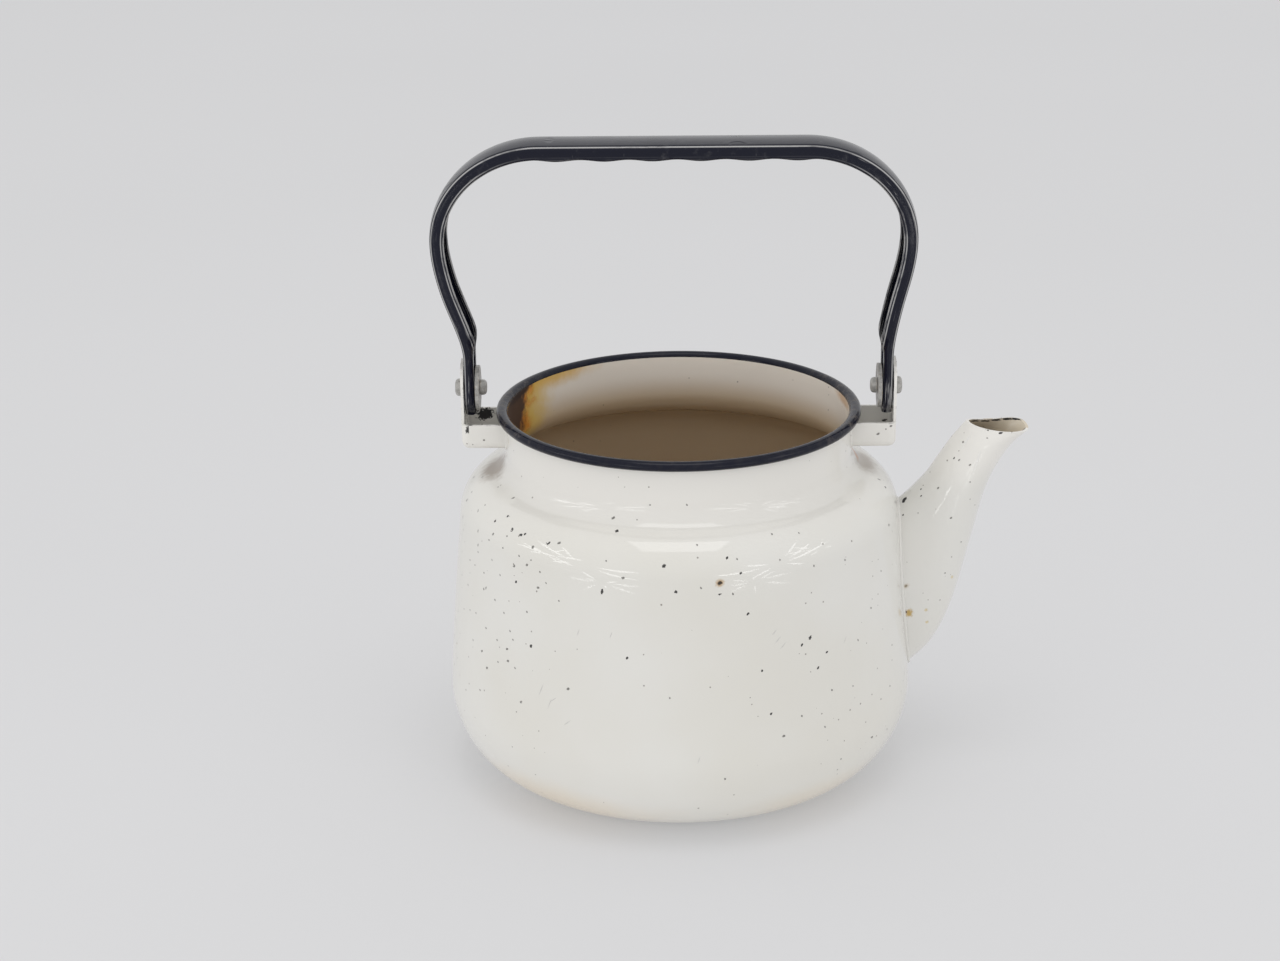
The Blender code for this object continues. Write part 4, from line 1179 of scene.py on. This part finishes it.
# Marks by piece: kind, width in millimetres, how many times longer than wide, its slant in the image in degrees, and
# the places in the image where it shows
MARKS = {
    "kettle_body": (
        ("chip", 0.95, 2.4, 78, ((602, 592),)),
        ("chip", 0.55, 2.4, 80, ((463, 517), (478, 511), (478, 531), (486, 588), (478, 545))),
        ("chip", 1.35, 1.2, 40, ((664, 566), (617, 531), (548, 543))),
        ("chip", 0.95, 2.2, -20, ((521, 535),)),
        ("chip", 1.10, 1.3, 40, ((531, 646), (495, 521), (676, 592), (512, 530))),
        ("star", 1.5, 1.15, 20, ((720, 583),)),
        ("chip", 0.8, 1.9, 10, ((720, 594),)),
        ("chip", 1.3, 1.4, 60, ((810, 638),)),
        ("chip", 0.85, 1.4, 50, (
            (748, 614), (627, 658), (827, 652), (818, 668), (549, 543), (512, 529), (525, 534), (727, 558),
            (741, 573), (508, 516), (516, 582), (802, 645), (771, 714), (762, 671),
        )),
        ("speck", 0.9, 1.5, 30, (
            (677, 592), (784, 736), (568, 689), (521, 702), (487, 668), (507, 649), (509, 780), (872, 737),
            (484, 589), (513, 498), (474, 477), (467, 500), (538, 588), (889, 525), (533, 547), (559, 543),
            (623, 578), (613, 518), (514, 566), (527, 565), (493, 534), (521, 535), (482, 651), (508, 661),
        )),
        ("speck", 0.6, 1.4, 120, (
            (832, 690), (853, 686), (802, 716), (825, 727), (670, 698), (455, 635), (457, 658), (606, 561),
            (892, 645), (890, 686), (881, 699), (887, 729), (841, 759), (725, 779), (737, 559), (780, 560),
            (522, 572), (526, 564), (509, 516), (687, 505), (772, 534), (871, 608), (881, 571), (462, 575),
            (470, 610), (492, 560), (503, 548), (489, 540), (500, 575), (531, 560), (540, 572), (546, 583),
            (519, 556), (507, 536), (485, 505), (498, 487), (478, 552), (473, 640), (480, 690), (498, 662),
            (466, 690), (515, 668), (527, 612), (559, 601), (464, 609), (476, 613), (504, 613), (486, 628),
            (497, 640), (510, 631), (484, 573), (475, 565), (468, 585), (495, 600), (513, 640), (470, 560),
            (701, 588), (697, 545), (650, 505), (733, 594), (799, 533), (814, 566), (845, 560), (858, 640),
        )),
        ("scratch", 0.25, 16.0, 68, ((550, 703), (541, 690))),
        ("scratch", 0.25, 12.0, 35, ((567, 723), (553, 700))),
        ("scratch", 0.30, 9.0, 50, ((778, 640), (783, 646), (774, 633))),
        ("scratch", 0.25, 8.0, 70, ((611, 635), (845, 640), (699, 760), (578, 633))),
    ),
    "spout_near": (
        ("patch", 2.0, 1.5, 60, ((904, 500),)),
        ("halo", 1.0, 1.3, 30, ((906, 586),)),
        ("rust", 0.9, 1.2, 90, ((906, 612),)),
        ("blot", 2.8, 1.2, 90, ((909, 613),)),
        ("chip", 0.65, 1.3, 40, ((954, 458), (921, 489), (921, 496), (903, 515))),
        ("speck", 0.7, 1.4, 40, ((959, 460), (963, 442), (970, 465), (951, 518), (938, 488))),
        ("speck", 0.5, 1.3, 0, (
            (970, 482), (987, 438), (961, 542), (918, 513), (945, 573), (930, 472), (940, 600), (975, 505),
        )),
        ("stain", 1.0, 1.2, 0, ((926, 610), (927, 622), (952, 577))),
        # Painted highlights: two light streaks down the spout, where it reflects the light
        ("painted_highlight", 0.45, 14.0, 60, ((966, 442),)),
        ("painted_highlight", 0.45, 22.0, 72, ((977, 462),)),
        ("chip", 0.8, 2.4, 10, ((1001, 433),)),
        ("patch", 1.0, 2.0, 20, ((1024, 429),)),
        ("chip", 0.7, 3.0, 20, ((1012, 432), (988, 430))),
    ),
    "spout_far": (
        ("patch", 0.8, 6.0, 0, ((974, 421), (985, 421), (996, 420), (1007, 419), (1015, 419))),
    ),
    "ear_tray_rear": (
        ("patch", 5.2, 1.3, 8, ((485, 414),)),
        ("chip", 2.4, 2.0, 60, ((469, 429),)),
        ("speck", 0.7, 1.3, 0, ((497, 448), (484, 440), (476, 399))),
    ),
    "ear_tray_front": (
        ("chip", 1.0, 2.4, 0, ((884, 420),)),
        ("speck", 0.8, 1.5, 30, ((891, 426), (884, 443), (887, 446), (878, 434))),
    ),
}
STREWN_SEED = 11
STREWN = {"kettle_body": 420, "spout_near": 12, "spout_far": 40, "ear_tray_rear": 14, "ear_tray_front": 14}
STREWN_KINDS = {"chip": 4, "speck": 7, "rust": 1}
STREWN_LONGER = (1.0, 1.9)
STREWN_RADIUS, STREWN_RADIUS_SPREAD = 0.00014, 0.00056

# Where the photograph shows the surface, few marks are strewn; none on the base; more of them towards the rear
SHOWN_FACING, SHOWN_SHARE = 0.35, 0.03
BASE_FACING = -0.8
REAR_SHARE, REAR_REACH = 1.6, 0.09

FAR_AWAY = (0.0, 0.0, -9.0)
NO_MARK = (0.0001, 0.1, 0.0)
BODY_MIDDLE = (0.0, 0.0, 0.08)
FACING_IN = 0.02
SLANT_STEP = 4
WIDTH_MM_TO_RADIUS = 2000
TO_CAMERA = (0.0, -1.0, 0.3)


def image_ray(x, y):
    """Where a place in the image looks from and towards."""
    stage = bpy.context.scene.kettle_stage
    matrix = camera_matrix(stage)
    per_pixel = SENSOR_WIDTH / stage.lens / IMAGE_WIDTH
    ahead = Vector(((x - IMAGE_WIDTH / 2) * per_pixel, (IMAGE_HEIGHT / 2 - y) * per_pixel, -1.0))
    return matrix.translation, (matrix.to_3x3() @ ahead).normalized()


def ray_tree(mesh):
    return BVHTree.FromPolygons([vert.co for vert in mesh.vertices], [face.vertices for face in mesh.polygons])


def drawn_marks(name, tree):
    """The marks listed for a piece, seated where the camera sees them on it."""
    marks = []
    for kind, width, longer, slant, places in MARKS.get(name, ()):
        step = (SLANT_STEP * math.cos(math.radians(slant)), -SLANT_STEP * math.sin(math.radians(slant)))
        for x, y in places:
            here = tree.ray_cast(*image_ray(x, y))[0]
            there = tree.ray_cast(*image_ray(x + step[0], y + step[1]))[0]
            if here is None:
                continue
            heading = (there - here).normalized() if there is not None else Vector((0, 0, 1))
            marks.append((kind, here, width / WIDTH_MM_TO_RADIUS, longer, heading * math.sqrt(1 - 1 / longer)))
    return marks


def strewn_marks(name, centres, normals, areas, inside):
    """Small chips strewn over the sides and the back, most of them towards the rear."""
    rng = random.Random(STREWN_SEED + len(name))
    front = Vector(TO_CAMERA).normalized()
    weights = []
    for centre, normal, area, within in zip(centres, normals, areas, inside):
        facing = normal[0] * front.x + normal[1] * front.y + normal[2] * front.z
        shown = SHOWN_SHARE if facing > SHOWN_FACING else 1.0
        rear = 1.0 + REAR_SHARE * max(0.0, -centre[0] / REAR_REACH)
        weights.append(0.0 if within or normal[2] < BASE_FACING else area * shown * rear)
    marks = []
    for index in rng.choices(range(len(weights)), weights=weights, k=STREWN.get(name, 0)):
        reach = math.sqrt(areas[index]) * 0.5
        shift = Vector([rng.uniform(-reach, reach) for _ in range(3)])
        normal = Vector(normals[index])
        place = Vector(centres[index]) + shift - normal * shift.dot(normal)
        heading = normal.orthogonal().normalized()
        heading.rotate(Matrix.Rotation(rng.uniform(0, math.pi), 3, normal))
        longer = rng.uniform(*STREWN_LONGER)
        radius = STREWN_RADIUS + STREWN_RADIUS_SPREAD * rng.random() ** 4
        kind = rng.choices(tuple(STREWN_KINDS), tuple(STREWN_KINDS.values()))[0]
        marks.append((kind, place, radius, longer, heading * math.sqrt(1 - 1 / longer)))
    return marks


def store(mesh, name, kind, domain, values):
    """Write a value for each face or each point into a named attribute."""
    attribute = mesh.attributes.new(name, kind, domain)
    attribute.data.foreach_set("value" if kind == "FLOAT" else "vector", values.astype(np.float32).ravel())


def store_marks(mesh, layer, marks, centres, reaches):
    """Write each face's nearest mark into the face's own attributes."""
    count = len(mesh.polygons)
    place = np.tile(np.array(FAR_AWAY), (count, 1))
    pull = np.zeros((count, 3))
    form = np.tile(np.array(NO_MARK), (count, 1))
    tone = np.zeros((count, 3))
    nearest = np.full(count, np.inf)
    for kind, centre, radius, longer, direction in marks:
        colour, softness, halo = MARK_KINDS[kind]
        wide = radius * longer * (HALO_REACH if halo else SPOT_REACH)
        gap = np.linalg.norm(centres - np.array(centre), axis=1)
        inside = (gap < wide + reaches) & (gap - radius < nearest)
        place[inside] = centre
        pull[inside] = direction
        form[inside] = (radius, softness, halo)
        tone[inside] = colour
        nearest[inside] = (gap - radius)[inside]
    for name, values in (("place", place), ("pull", pull), ("form", form), ("tone", tone)):
        store(mesh, layer + "_" + name, "FLOAT_VECTOR", "FACE", values)


def mark_piece(obj):
    """Give a cream piece its marks, and say which of its faces lie inside the kettle."""
    mesh = obj.data
    centres = np.array([face.center for face in mesh.polygons])
    normals = np.array([face.normal for face in mesh.polygons])
    areas = np.array([face.area for face in mesh.polygons])
    reaches = np.array([
        max((mesh.vertices[index].co - face.center).length for index in face.vertices) for face in mesh.polygons
    ])
    if obj.name == "kettle_body":
        inside = ((centres - np.array(BODY_MIDDLE)) * normals).sum(axis=1) < 0
    elif obj.name in {"spout_near", "spout_far"}:
        inside = centres[:, 1] * normals[:, 1] < -FACING_IN * np.abs(centres[:, 1])
    else:
        inside = np.zeros(len(centres), bool)
    store(mesh, "inside", "FLOAT", "FACE", inside)
    store_marks(mesh, "drawn", drawn_marks(obj.name, ray_tree(mesh)), centres, reaches)
    store_marks(mesh, "strewn", strewn_marks(obj.name, centres, normals, areas, inside), centres, reaches)


def store_run(handle, s, path):
    """Write where each point of the handle lies: along it, in from its edge, and in from its back."""
    places = np.array(path)
    steps = np.linalg.norm(np.diff(places, axis=0), axis=1)
    along = np.concatenate(([0.0], np.cumsum(steps)))
    headings = np.gradient(places, axis=0)
    headings /= np.linalg.norm(headings, axis=1)[:, None]
    outward = np.stack((-headings[:, 2], np.zeros(len(places)), headings[:, 0]), axis=1)
    edges = np.array([handle_half_width(s, point) for point in path])
    verts = np.array([vert.co for vert in handle.data.vertices])
    run = np.empty((len(verts), 3))
    for index, vert in enumerate(verts):
        nearest = int(np.argmin(np.linalg.norm(places[:, ::2] - vert[::2], axis=1)))
        gap = vert - places[nearest]
        run[index] = (
            along[nearest] + gap @ headings[nearest], edges[nearest] - abs(vert[1]), -(gap @ outward[nearest]),
        )
    store(handle.data, "run", "FLOAT_VECTOR", "POINT", run)


def spout_root_line(s):
    """The closed line where the spout's outside meets the body's wall."""
    near, far = (spout_section(s, 0, side, 0) for side in (-1, 1))
    line = []
    for point in near + far[-2:0:-1]:
        reach = wall_radius(s, point.z)
        line.append((math.sqrt(reach ** 2 - point.y ** 2), point.y, point.z))
    return line


def ear_root_line(s, side):
    """The line where an ear's outside meets the neck: down one side, under the tray and up the other."""
    half = s.ear_depth / 2
    corner = s.ear_corner
    across, low = half - corner, s.ear_bottom + corner
    places = [(-half, s.ear_top), (-half, low)]
    places += arc_points((-across, low), corner, corner, math.pi, 1.5 * math.pi, TRAY_EDGE_STEPS)
    places += [(half * share, s.ear_bottom) for share in EAR_FLOOR_SHARES]
    places += arc_points((across, low), corner, corner, -math.pi / 2, 0, TRAY_EDGE_STEPS)
    places += [(half, s.ear_top)]
    return [(side * math.sqrt(s.neck_radius ** 2 - place ** 2), place, up) for place, up in places]


def lay_weld(name, line, closed, radius, finish):
    """Lay a bead of enamel along a line, as a piece of the kettle's body."""
    weld = grown(
        name, line, chain(len(line), closed), tree_named("enamel_bead", weld_tree),
        radius=radius, sides=BEAD_SIDES, finish=finish,
    )
    face_out(weld)
    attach(weld, "kettle")
    weld.data.shade_smooth()
    mark_piece(weld)


class KETTLE_OT_body(Operator):
    """Turn the body with its rolled rim and pierce the strainer behind the spout"""
    bl_idname = "kettle.make_body"
    bl_label = "Body"

    def execute(self, context):
        s = context.scene.kettle_sizes
        cream, black = cream_enamel("Cream enamel"), black_enamel("Black enamel")
        rim_from = s.rim_height - s.bead_half_height
        body = turned("kettle_body", body_profile(s), BODY_SEGMENTS, cream, black, rim_from)
        middle = (s.spout_low + s.shoulder_height) / 2
        places = []
        for row, count in enumerate(STRAINER_ROWS):
            height = middle + (row - (len(STRAINER_ROWS) - 1) / 2) * s.strainer_pitch
            for place in range(count):
                places.append((wall_radius(s, height), (place - (count - 1) / 2) * s.strainer_pitch, height))
        pins = grown(
            "strainer", places, [], tree_named("strainer_pins", pins_tree),
            diameter=s.strainer_hole, length=2 * OVERRUN, sides=HOLE_SEGMENTS, finish=cream,
        )
        cut(body, pins)
        drop(pins)
        mark_piece(finish_piece(body, "kettle", "cream_enamel", "body_shell"))
        return {"FINISHED"}


class KETTLE_OT_spout(Operator):
    """Loft the spout's two pressed halves and trim them to the body's wall"""
    bl_idname = "kettle.make_spout"
    bl_label = "Spout"

    def execute(self, context):
        s = context.scene.kettle_sizes
        cream = cream_enamel("Cream enamel")
        outline = body_outside(s)
        profile = [(0, outline[0][1])] + outline + [(0, outline[-1][1])]
        wall = turned("spout_root", profile, BODY_SEGMENTS, cream)
        lay_weld("spout_weld", spout_root_line(s), True, s.spout_weld_radius, cream)
        for name, side, node in (("spout_near", -1, "spout_near_half"), ("spout_far", 1, "spout_far_half")):
            back = Vector((-s.spout_root_depth, 0, 0))
            first = [[point + back for point in spout_section(s, 0, side, inset)] for inset in (0, s.sheet)]
            stations = [tuple(first)]
            for step in range(SPOUT_STATIONS + 1):
                share = step / SPOUT_STATIONS
                stations.append((spout_section(s, share, side, 0), spout_section(s, share, side, s.sheet)))
            half = object_from(name, sheet_bmesh(stations), cream)
            cut(half, wall)
            mark_piece(finish_piece(half, "kettle", "cream_enamel", node))
        drop(wall)
        return {"FINISHED"}


class KETTLE_OT_ears(Operator):
    """Press the two ears: open trays whose outer walls rise as tabs"""
    bl_idname = "kettle.make_ears"
    bl_label = "Ears"

    def execute(self, context):
        s = context.scene.kettle_sizes
        cream = cream_enamel("Cream enamel")
        half = s.ear_depth / 2
        inner_x = s.neck_radius - OVERRUN
        tab_inner_x = s.ear_outer_x - s.sheet
        floor = s.ear_bottom + s.sheet
        above = s.tab_top + OVERRUN
        low, high = s.ear_bottom - OVERRUN, s.ear_top + OVERRUN
        neck_line = [(0, low), (s.neck_radius, low), (s.neck_radius, high), (0, high)]
        neck = turned("ear_root", neck_line, BODY_SEGMENTS, cream)
        pin = pivot_pin(s, cream)
        for name, side in SIDES:
            block = box_bmesh(side, inner_x, s.ear_outer_x, half, s.ear_bottom, s.tab_top)
            ear = object_from(
                "ear_tray_" + name, round_tray_edges(block, side, s.ear_outer_x, s.ear_bottom, s.ear_corner), cream,
            )
            root_x = inner_x - OVERRUN
            hollow = box_bmesh(side, root_x, tab_inner_x, half - s.sheet, floor, above)
            top = box_bmesh(side, root_x, tab_inner_x, half + OVERRUN, s.ear_top, above)
            cutters = [
                object_from("tray_hollow", round_tray_edges(hollow, side, tab_inner_x, floor, s.ear_corner - s.sheet)),
                object_from("tray_top", top),
                object_from("tab_bite", tab_bmesh(s, side)),
            ]
            cut(ear, *cutters, neck, pin)
            drop(*cutters)
            mark_piece(finish_piece(ear, "kettle", "cream_enamel", "ear_" + name))
            lay_weld("ear_weld_" + name, ear_root_line(s, side), False, s.ear_weld_radius, cream)
        drop(neck, pin)
        return {"FINISHED"}


class KETTLE_OT_pivots(Operator):
    """Turn the rivets and washers that the handle swings on"""
    bl_idname = "kettle.make_pivots"
    bl_label = "Rivets and washers"

    def execute(self, context):
        s = context.scene.kettle_sizes
        steel = bare_steel("Bare steel")
        hole = s.shank_radius + CLEAR
        for name, side in SIDES:
            inner, outer = side * s.washer_inner_x, side * s.washer_outer_x
            ring = [(hole, inner), (s.washer_radius, inner), (s.washer_radius, outer), (hole, outer)]
            washer = along_x(turned("pivot_washer_" + name, ring, WASHER_SEGMENTS, steel), s.pivot_height)
            finish_piece(washer, "kettle", "bare_steel", "washer_" + name)
            outer_face = s.ear_outer_x + CLEAR
            inner_face = s.washer_inner_x - CLEAR
            outer_head = dome_points(s.outer_head_radius, s.outer_head_height, outer_face)
            inner_head = dome_points(s.inner_head_radius, -s.inner_head_height, inner_face)
            shank = [(s.shank_radius, inner_face), (s.shank_radius, outer_face)]
            line = [(radius, side * along) for radius, along in inner_head[::-1] + shank + outer_head]
            rivet = along_x(turned("pivot_rivet_" + name, line, RIVET_SEGMENTS, steel), s.pivot_height)
            finish_piece(rivet, "kettle", "bare_steel", "rivet_" + name)
        return {"FINISHED"}


class KETTLE_OT_handle(Operator):
    """Bend the channel-section handle"""
    bl_idname = "kettle.make_handle"
    bl_label = "Handle"

    def execute(self, context):
        s = context.scene.kettle_sizes
        black = black_enamel("Handle enamel", True)
        path = handle_path(s)
        stations = [handle_station(s, path, index) for index in range(len(path))]
        handle = object_from("swing_handle", sheet_bmesh(stations), black)
        pin = pivot_pin(s, black)
        cut(handle, pin)
        drop(pin)
        finish_piece(handle, "handle", "black_enamel", "bail_handle")
        store_run(handle, s, path)
        return {"FINISHED"}


# Lamps: place, what it is aimed at, width, height, watts, and whether it shows in reflections
LAMPS = (
    ("Ceiling box", (0.0, -0.24, 1.32), (0.0, -0.08, 0.1), 0.62, 0.56, 2.0, True),
    ("Left box", (-1.5, -1.2, 0.30), (0.0, 0.0, 0.08), 1.2, 0.5, 5.3, False),
    ("Right box", (1.5, -1.2, 0.30), (0.0, 0.0, 0.08), 1.2, 0.5, 3.0, False),
    ("Floor box", (0.0, 0.0, 0.0006), (0.0, 0.0, 1.0), 0.6, 0.6, 0.16, False),
)

# Ribbed lamps that show only as feathery strokes on the enamel: the middle of each in the image, half the width of
# its ribs, and the ribs as direction in degrees and reach in image pixels
FANS = (
    ((546, 554), 0.6, ((160, 30), (152, 17), (170, 16), (-10, 38), (12, 22), (-24, 30), (-34, 14))),
    ((601, 583), 0.6, ((170, 33), (149, 23), (200, 19), (164, 17), (-6, 39), (-18, 35), (4, 17), (-40, 9))),
    ((754, 582), 0.6, ((28, 25), (15, 39), (-2, 36), (203, 26), (190, 24), (175, 22), (95, 6), (-80, 10))),
    ((822, 548), 0.5, ((180, 31), (190, 38), (201, 38), (214, 14), (92, 9), (12, 10))),
    ((600, 508), 0.4, ((170, 49), (177, 39), (163, 20), (1, 48), (-4, 48), (190, 18))),
    ((756, 507), 0.4, ((7, 45), (0, 31), (-12, 24), (183, 51), (190, 26), (172, 22), (20, 20))),
)
FAN_DISTANCE = 0.34
RIB_START_SHARE = 0.3
RIB_STEPS = 8
FAN_GLOW = 4.5
RIB_TIP_SHARE = 0.1

FLOOR_REACH = 12.0
CLOUD_SHARES = (0.985, 0.985, 0.985)
PAPER_ROUGHNESS, PAPER_SPECULAR = 0.95, 0.1


def add_lamp(name, place, aim, wide, high, watts, shows):
    lamp = bpy.data.lights.new(name, "AREA")
    lamp.shape = "RECTANGLE"
    lamp.size, lamp.size_y = wide, high
    lamp.energy = watts
    box = link(bpy.data.objects.new(name, lamp))
    box.location = place
    box.rotation_euler = (Vector(aim) - Vector(place)).to_track_quat("-Z", "Y").to_euler()
    box.visible_camera = False
    box.visible_glossy = shows


@made_once
def fan_glow(name):
    material = bpy.data.materials.new(name)
    material.use_nodes = True
    tree = material.node_tree
    tree.nodes.clear()
    glow = add(tree, "ShaderNodeEmission", Strength=FAN_GLOW)
    add(tree, "ShaderNodeOutputMaterial", Surface=glow.outputs[0])
    return material


def mirrored(mesh, tree, x, y):
    """The place near the kettle that the enamel shows at a place in the image."""
    start, ahead = image_ray(x, y)
    hit, _, face, _ = tree.ray_cast(start, ahead)
    verts = [mesh.vertices[index] for index in mesh.polygons[face].vertices]
    shares = poly_3d_calc([vert.co for vert in verts], hit)
    normal = sum((vert.normal * share for vert, share in zip(verts, shares)), Vector()).normalized()
    return hit + ahead.reflect(normal) * FAN_DISTANCE


def add_fan(index, middle, half_width, ribs, mesh, tree):
    """A fan of thin glowing ribs, set where the body mirrors it to the camera; only reflections see it."""
    bm = bmesh.new()
    for direction, reach in ribs:
        angle = math.radians(direction)
        out = Vector((math.cos(angle), -math.sin(angle)))
        before = None
        for step in range(RIB_STEPS + 1):
            along = Vector(middle) + out * reach * (RIB_START_SHARE + (1 - RIB_START_SHARE) * step / RIB_STEPS)
            aside = out.orthogonal() * half_width * max(RIB_TIP_SHARE, math.sin(math.pi * step / RIB_STEPS))
            pair = [bm.verts.new(mirrored(mesh, tree, *place)) for place in (along + aside, along - aside)]
            if before:
                bm.faces.new((before[0], before[1], pair[1], pair[0]))
            before = pair
    fan = object_from("lamp_ribs_" + str(index), bm, fan_glow("Fan glow"))
    fan.visible_camera = fan.visible_diffuse = fan.visible_shadow = fan.visible_transmission = False


@made_once
def floor_paper(name):
    """Matt pale paper with a faint cool cast, lit from below a little as on a light table."""
    material, tree, shader, point = new_material(name)
    stage = bpy.context.scene.kettle_stage
    colour = mixed(pattern(point, "paper"), stage.floor, toned(stage.floor, CLOUD_SHARES))
    join(colour, shader.inputs["Base Color"])
    shader.inputs["Roughness"].default_value = PAPER_ROUGHNESS
    shader.inputs["Specular IOR Level"].default_value = PAPER_SPECULAR
    plain = add(tree, "ShaderNodeEmission", Color=colour, Strength=1.0)
    blend = add(tree, "ShaderNodeMixShader", i0=stage.evenness, i1=shader.outputs[0], i2=plain.outputs[0])
    join(blend.outputs[0], tree.nodes["Material Output"].inputs["Surface"])
    return material


def room(stage):
    """Even light from all sides; past the floor's end the camera and reflections see the floor's own tone."""
    world = bpy.data.worlds.new("Room")
    world.use_nodes = True
    tree = world.node_tree
    light = tree.nodes["Background"]
    light.inputs["Color"].default_value = (1.0, 1.0, 1.0, 1.0)
    light.inputs["Strength"].default_value = stage.world
    seen = add(tree, "ShaderNodeBackground", Color=stage.floor, Strength=1.0)
    path = tree.nodes.new("ShaderNodeLightPath").outputs
    shown = larger(path["Is Camera Ray"], larger(path["Is Glossy Ray"], path["Is Transmission Ray"]))
    choice = add(tree, "ShaderNodeMixShader", i0=shown, i1=light.outputs[0], i2=seen.outputs[0])
    join(choice.outputs[0], tree.nodes["World Output"].inputs["Surface"])
    return world


class KETTLE_OT_stage(Operator):
    """Lay the floor, set the lamps and the camera"""
    bl_idname = "kettle.make_stage"
    bl_label = "Stage"

    def execute(self, context):
        stage = context.scene.kettle_stage
        bm = bmesh.new()
        bmesh.ops.create_grid(bm, x_segments=1, y_segments=1, size=FLOOR_REACH)
        object_from("floor", bm, floor_paper("Floor paper"))
        context.scene.world = room(stage)
        for lamp in LAMPS:
            add_lamp(*lamp)
        mesh = bpy.data.objects["kettle_body"].data
        tree = ray_tree(mesh)
        for index, fan in enumerate(FANS):
            add_fan(index, *fan, mesh, tree)
        camera_data = bpy.data.cameras.new("Camera")
        camera_data.lens = stage.lens
        camera_data.sensor_width = SENSOR_WIDTH
        camera_data.clip_start = CLIP_START
        camera = link(bpy.data.objects.new("Camera", camera_data))
        camera.matrix_world = camera_matrix(stage)
        context.scene.camera = camera
        context.scene.view_settings.view_transform = "Standard"
        return {"FINISHED"}


def camera_matrix(stage):
    """Where the camera stands and looks."""
    level = Vector((-math.sin(stage.camera_yaw), math.cos(stage.camera_yaw), 0))
    right = Vector((math.cos(stage.camera_yaw), math.sin(stage.camera_yaw), 0))
    ahead = level * math.cos(stage.camera_pitch) - Vector((0, 0, math.sin(stage.camera_pitch)))
    up = right.cross(ahead)
    roll = stage.camera_roll
    rolled_right = right * math.cos(roll) + up * math.sin(roll)
    rolled_up = -right * math.sin(roll) + up * math.cos(roll)
    matrix = Matrix((rolled_right, rolled_up, -ahead)).transposed().to_4x4()
    matrix.translation = Vector((0, -stage.camera_distance, stage.camera_height))
    return matrix


STEPS = (KETTLE_OT_body, KETTLE_OT_spout, KETTLE_OT_ears, KETTLE_OT_pivots, KETTLE_OT_handle, KETTLE_OT_stage)


class KETTLE_PT_panel(Panel):
    """The kettle's pieces in the sidebar"""
    bl_idname = "KETTLE_PT_panel"
    bl_label = "Kettle"
    bl_space_type = "VIEW_3D"
    bl_region_type = "UI"
    bl_category = "Kettle"

    def draw(self, context):
        for step in STEPS:
            self.layout.operator(step.bl_idname)
        for group in (context.scene.kettle_sizes, context.scene.kettle_finish, context.scene.kettle_stage):
            column = self.layout.column(align=True)
            for name in group.bl_rna.properties.keys():
                if name not in {"rna_type", "name"}:
                    column.prop(group, name, text=name.replace("_", " ").capitalize())


GROUPS = (("kettle_sizes", KettleSizes), ("kettle_finish", KettleFinish), ("kettle_stage", KettleStage))


def register():
    for name, group in GROUPS:
        bpy.utils.register_class(group)
        setattr(bpy.types.Scene, name, PointerProperty(type=group))
    for step in STEPS:
        bpy.utils.register_class(step)
    bpy.utils.register_class(KETTLE_PT_panel)


def unregister():
    bpy.utils.unregister_class(KETTLE_PT_panel)
    for step in reversed(STEPS):
        bpy.utils.unregister_class(step)
    for name, group in reversed(GROUPS):
        delattr(bpy.types.Scene, name)
        bpy.utils.unregister_class(group)


def main():
    register()
    bpy.ops.kettle.make_body()
    bpy.ops.kettle.make_spout()
    bpy.ops.kettle.make_ears()
    bpy.ops.kettle.make_pivots()
    bpy.ops.kettle.make_handle()
    bpy.ops.kettle.make_stage()


if __name__ == "__main__":
    main()
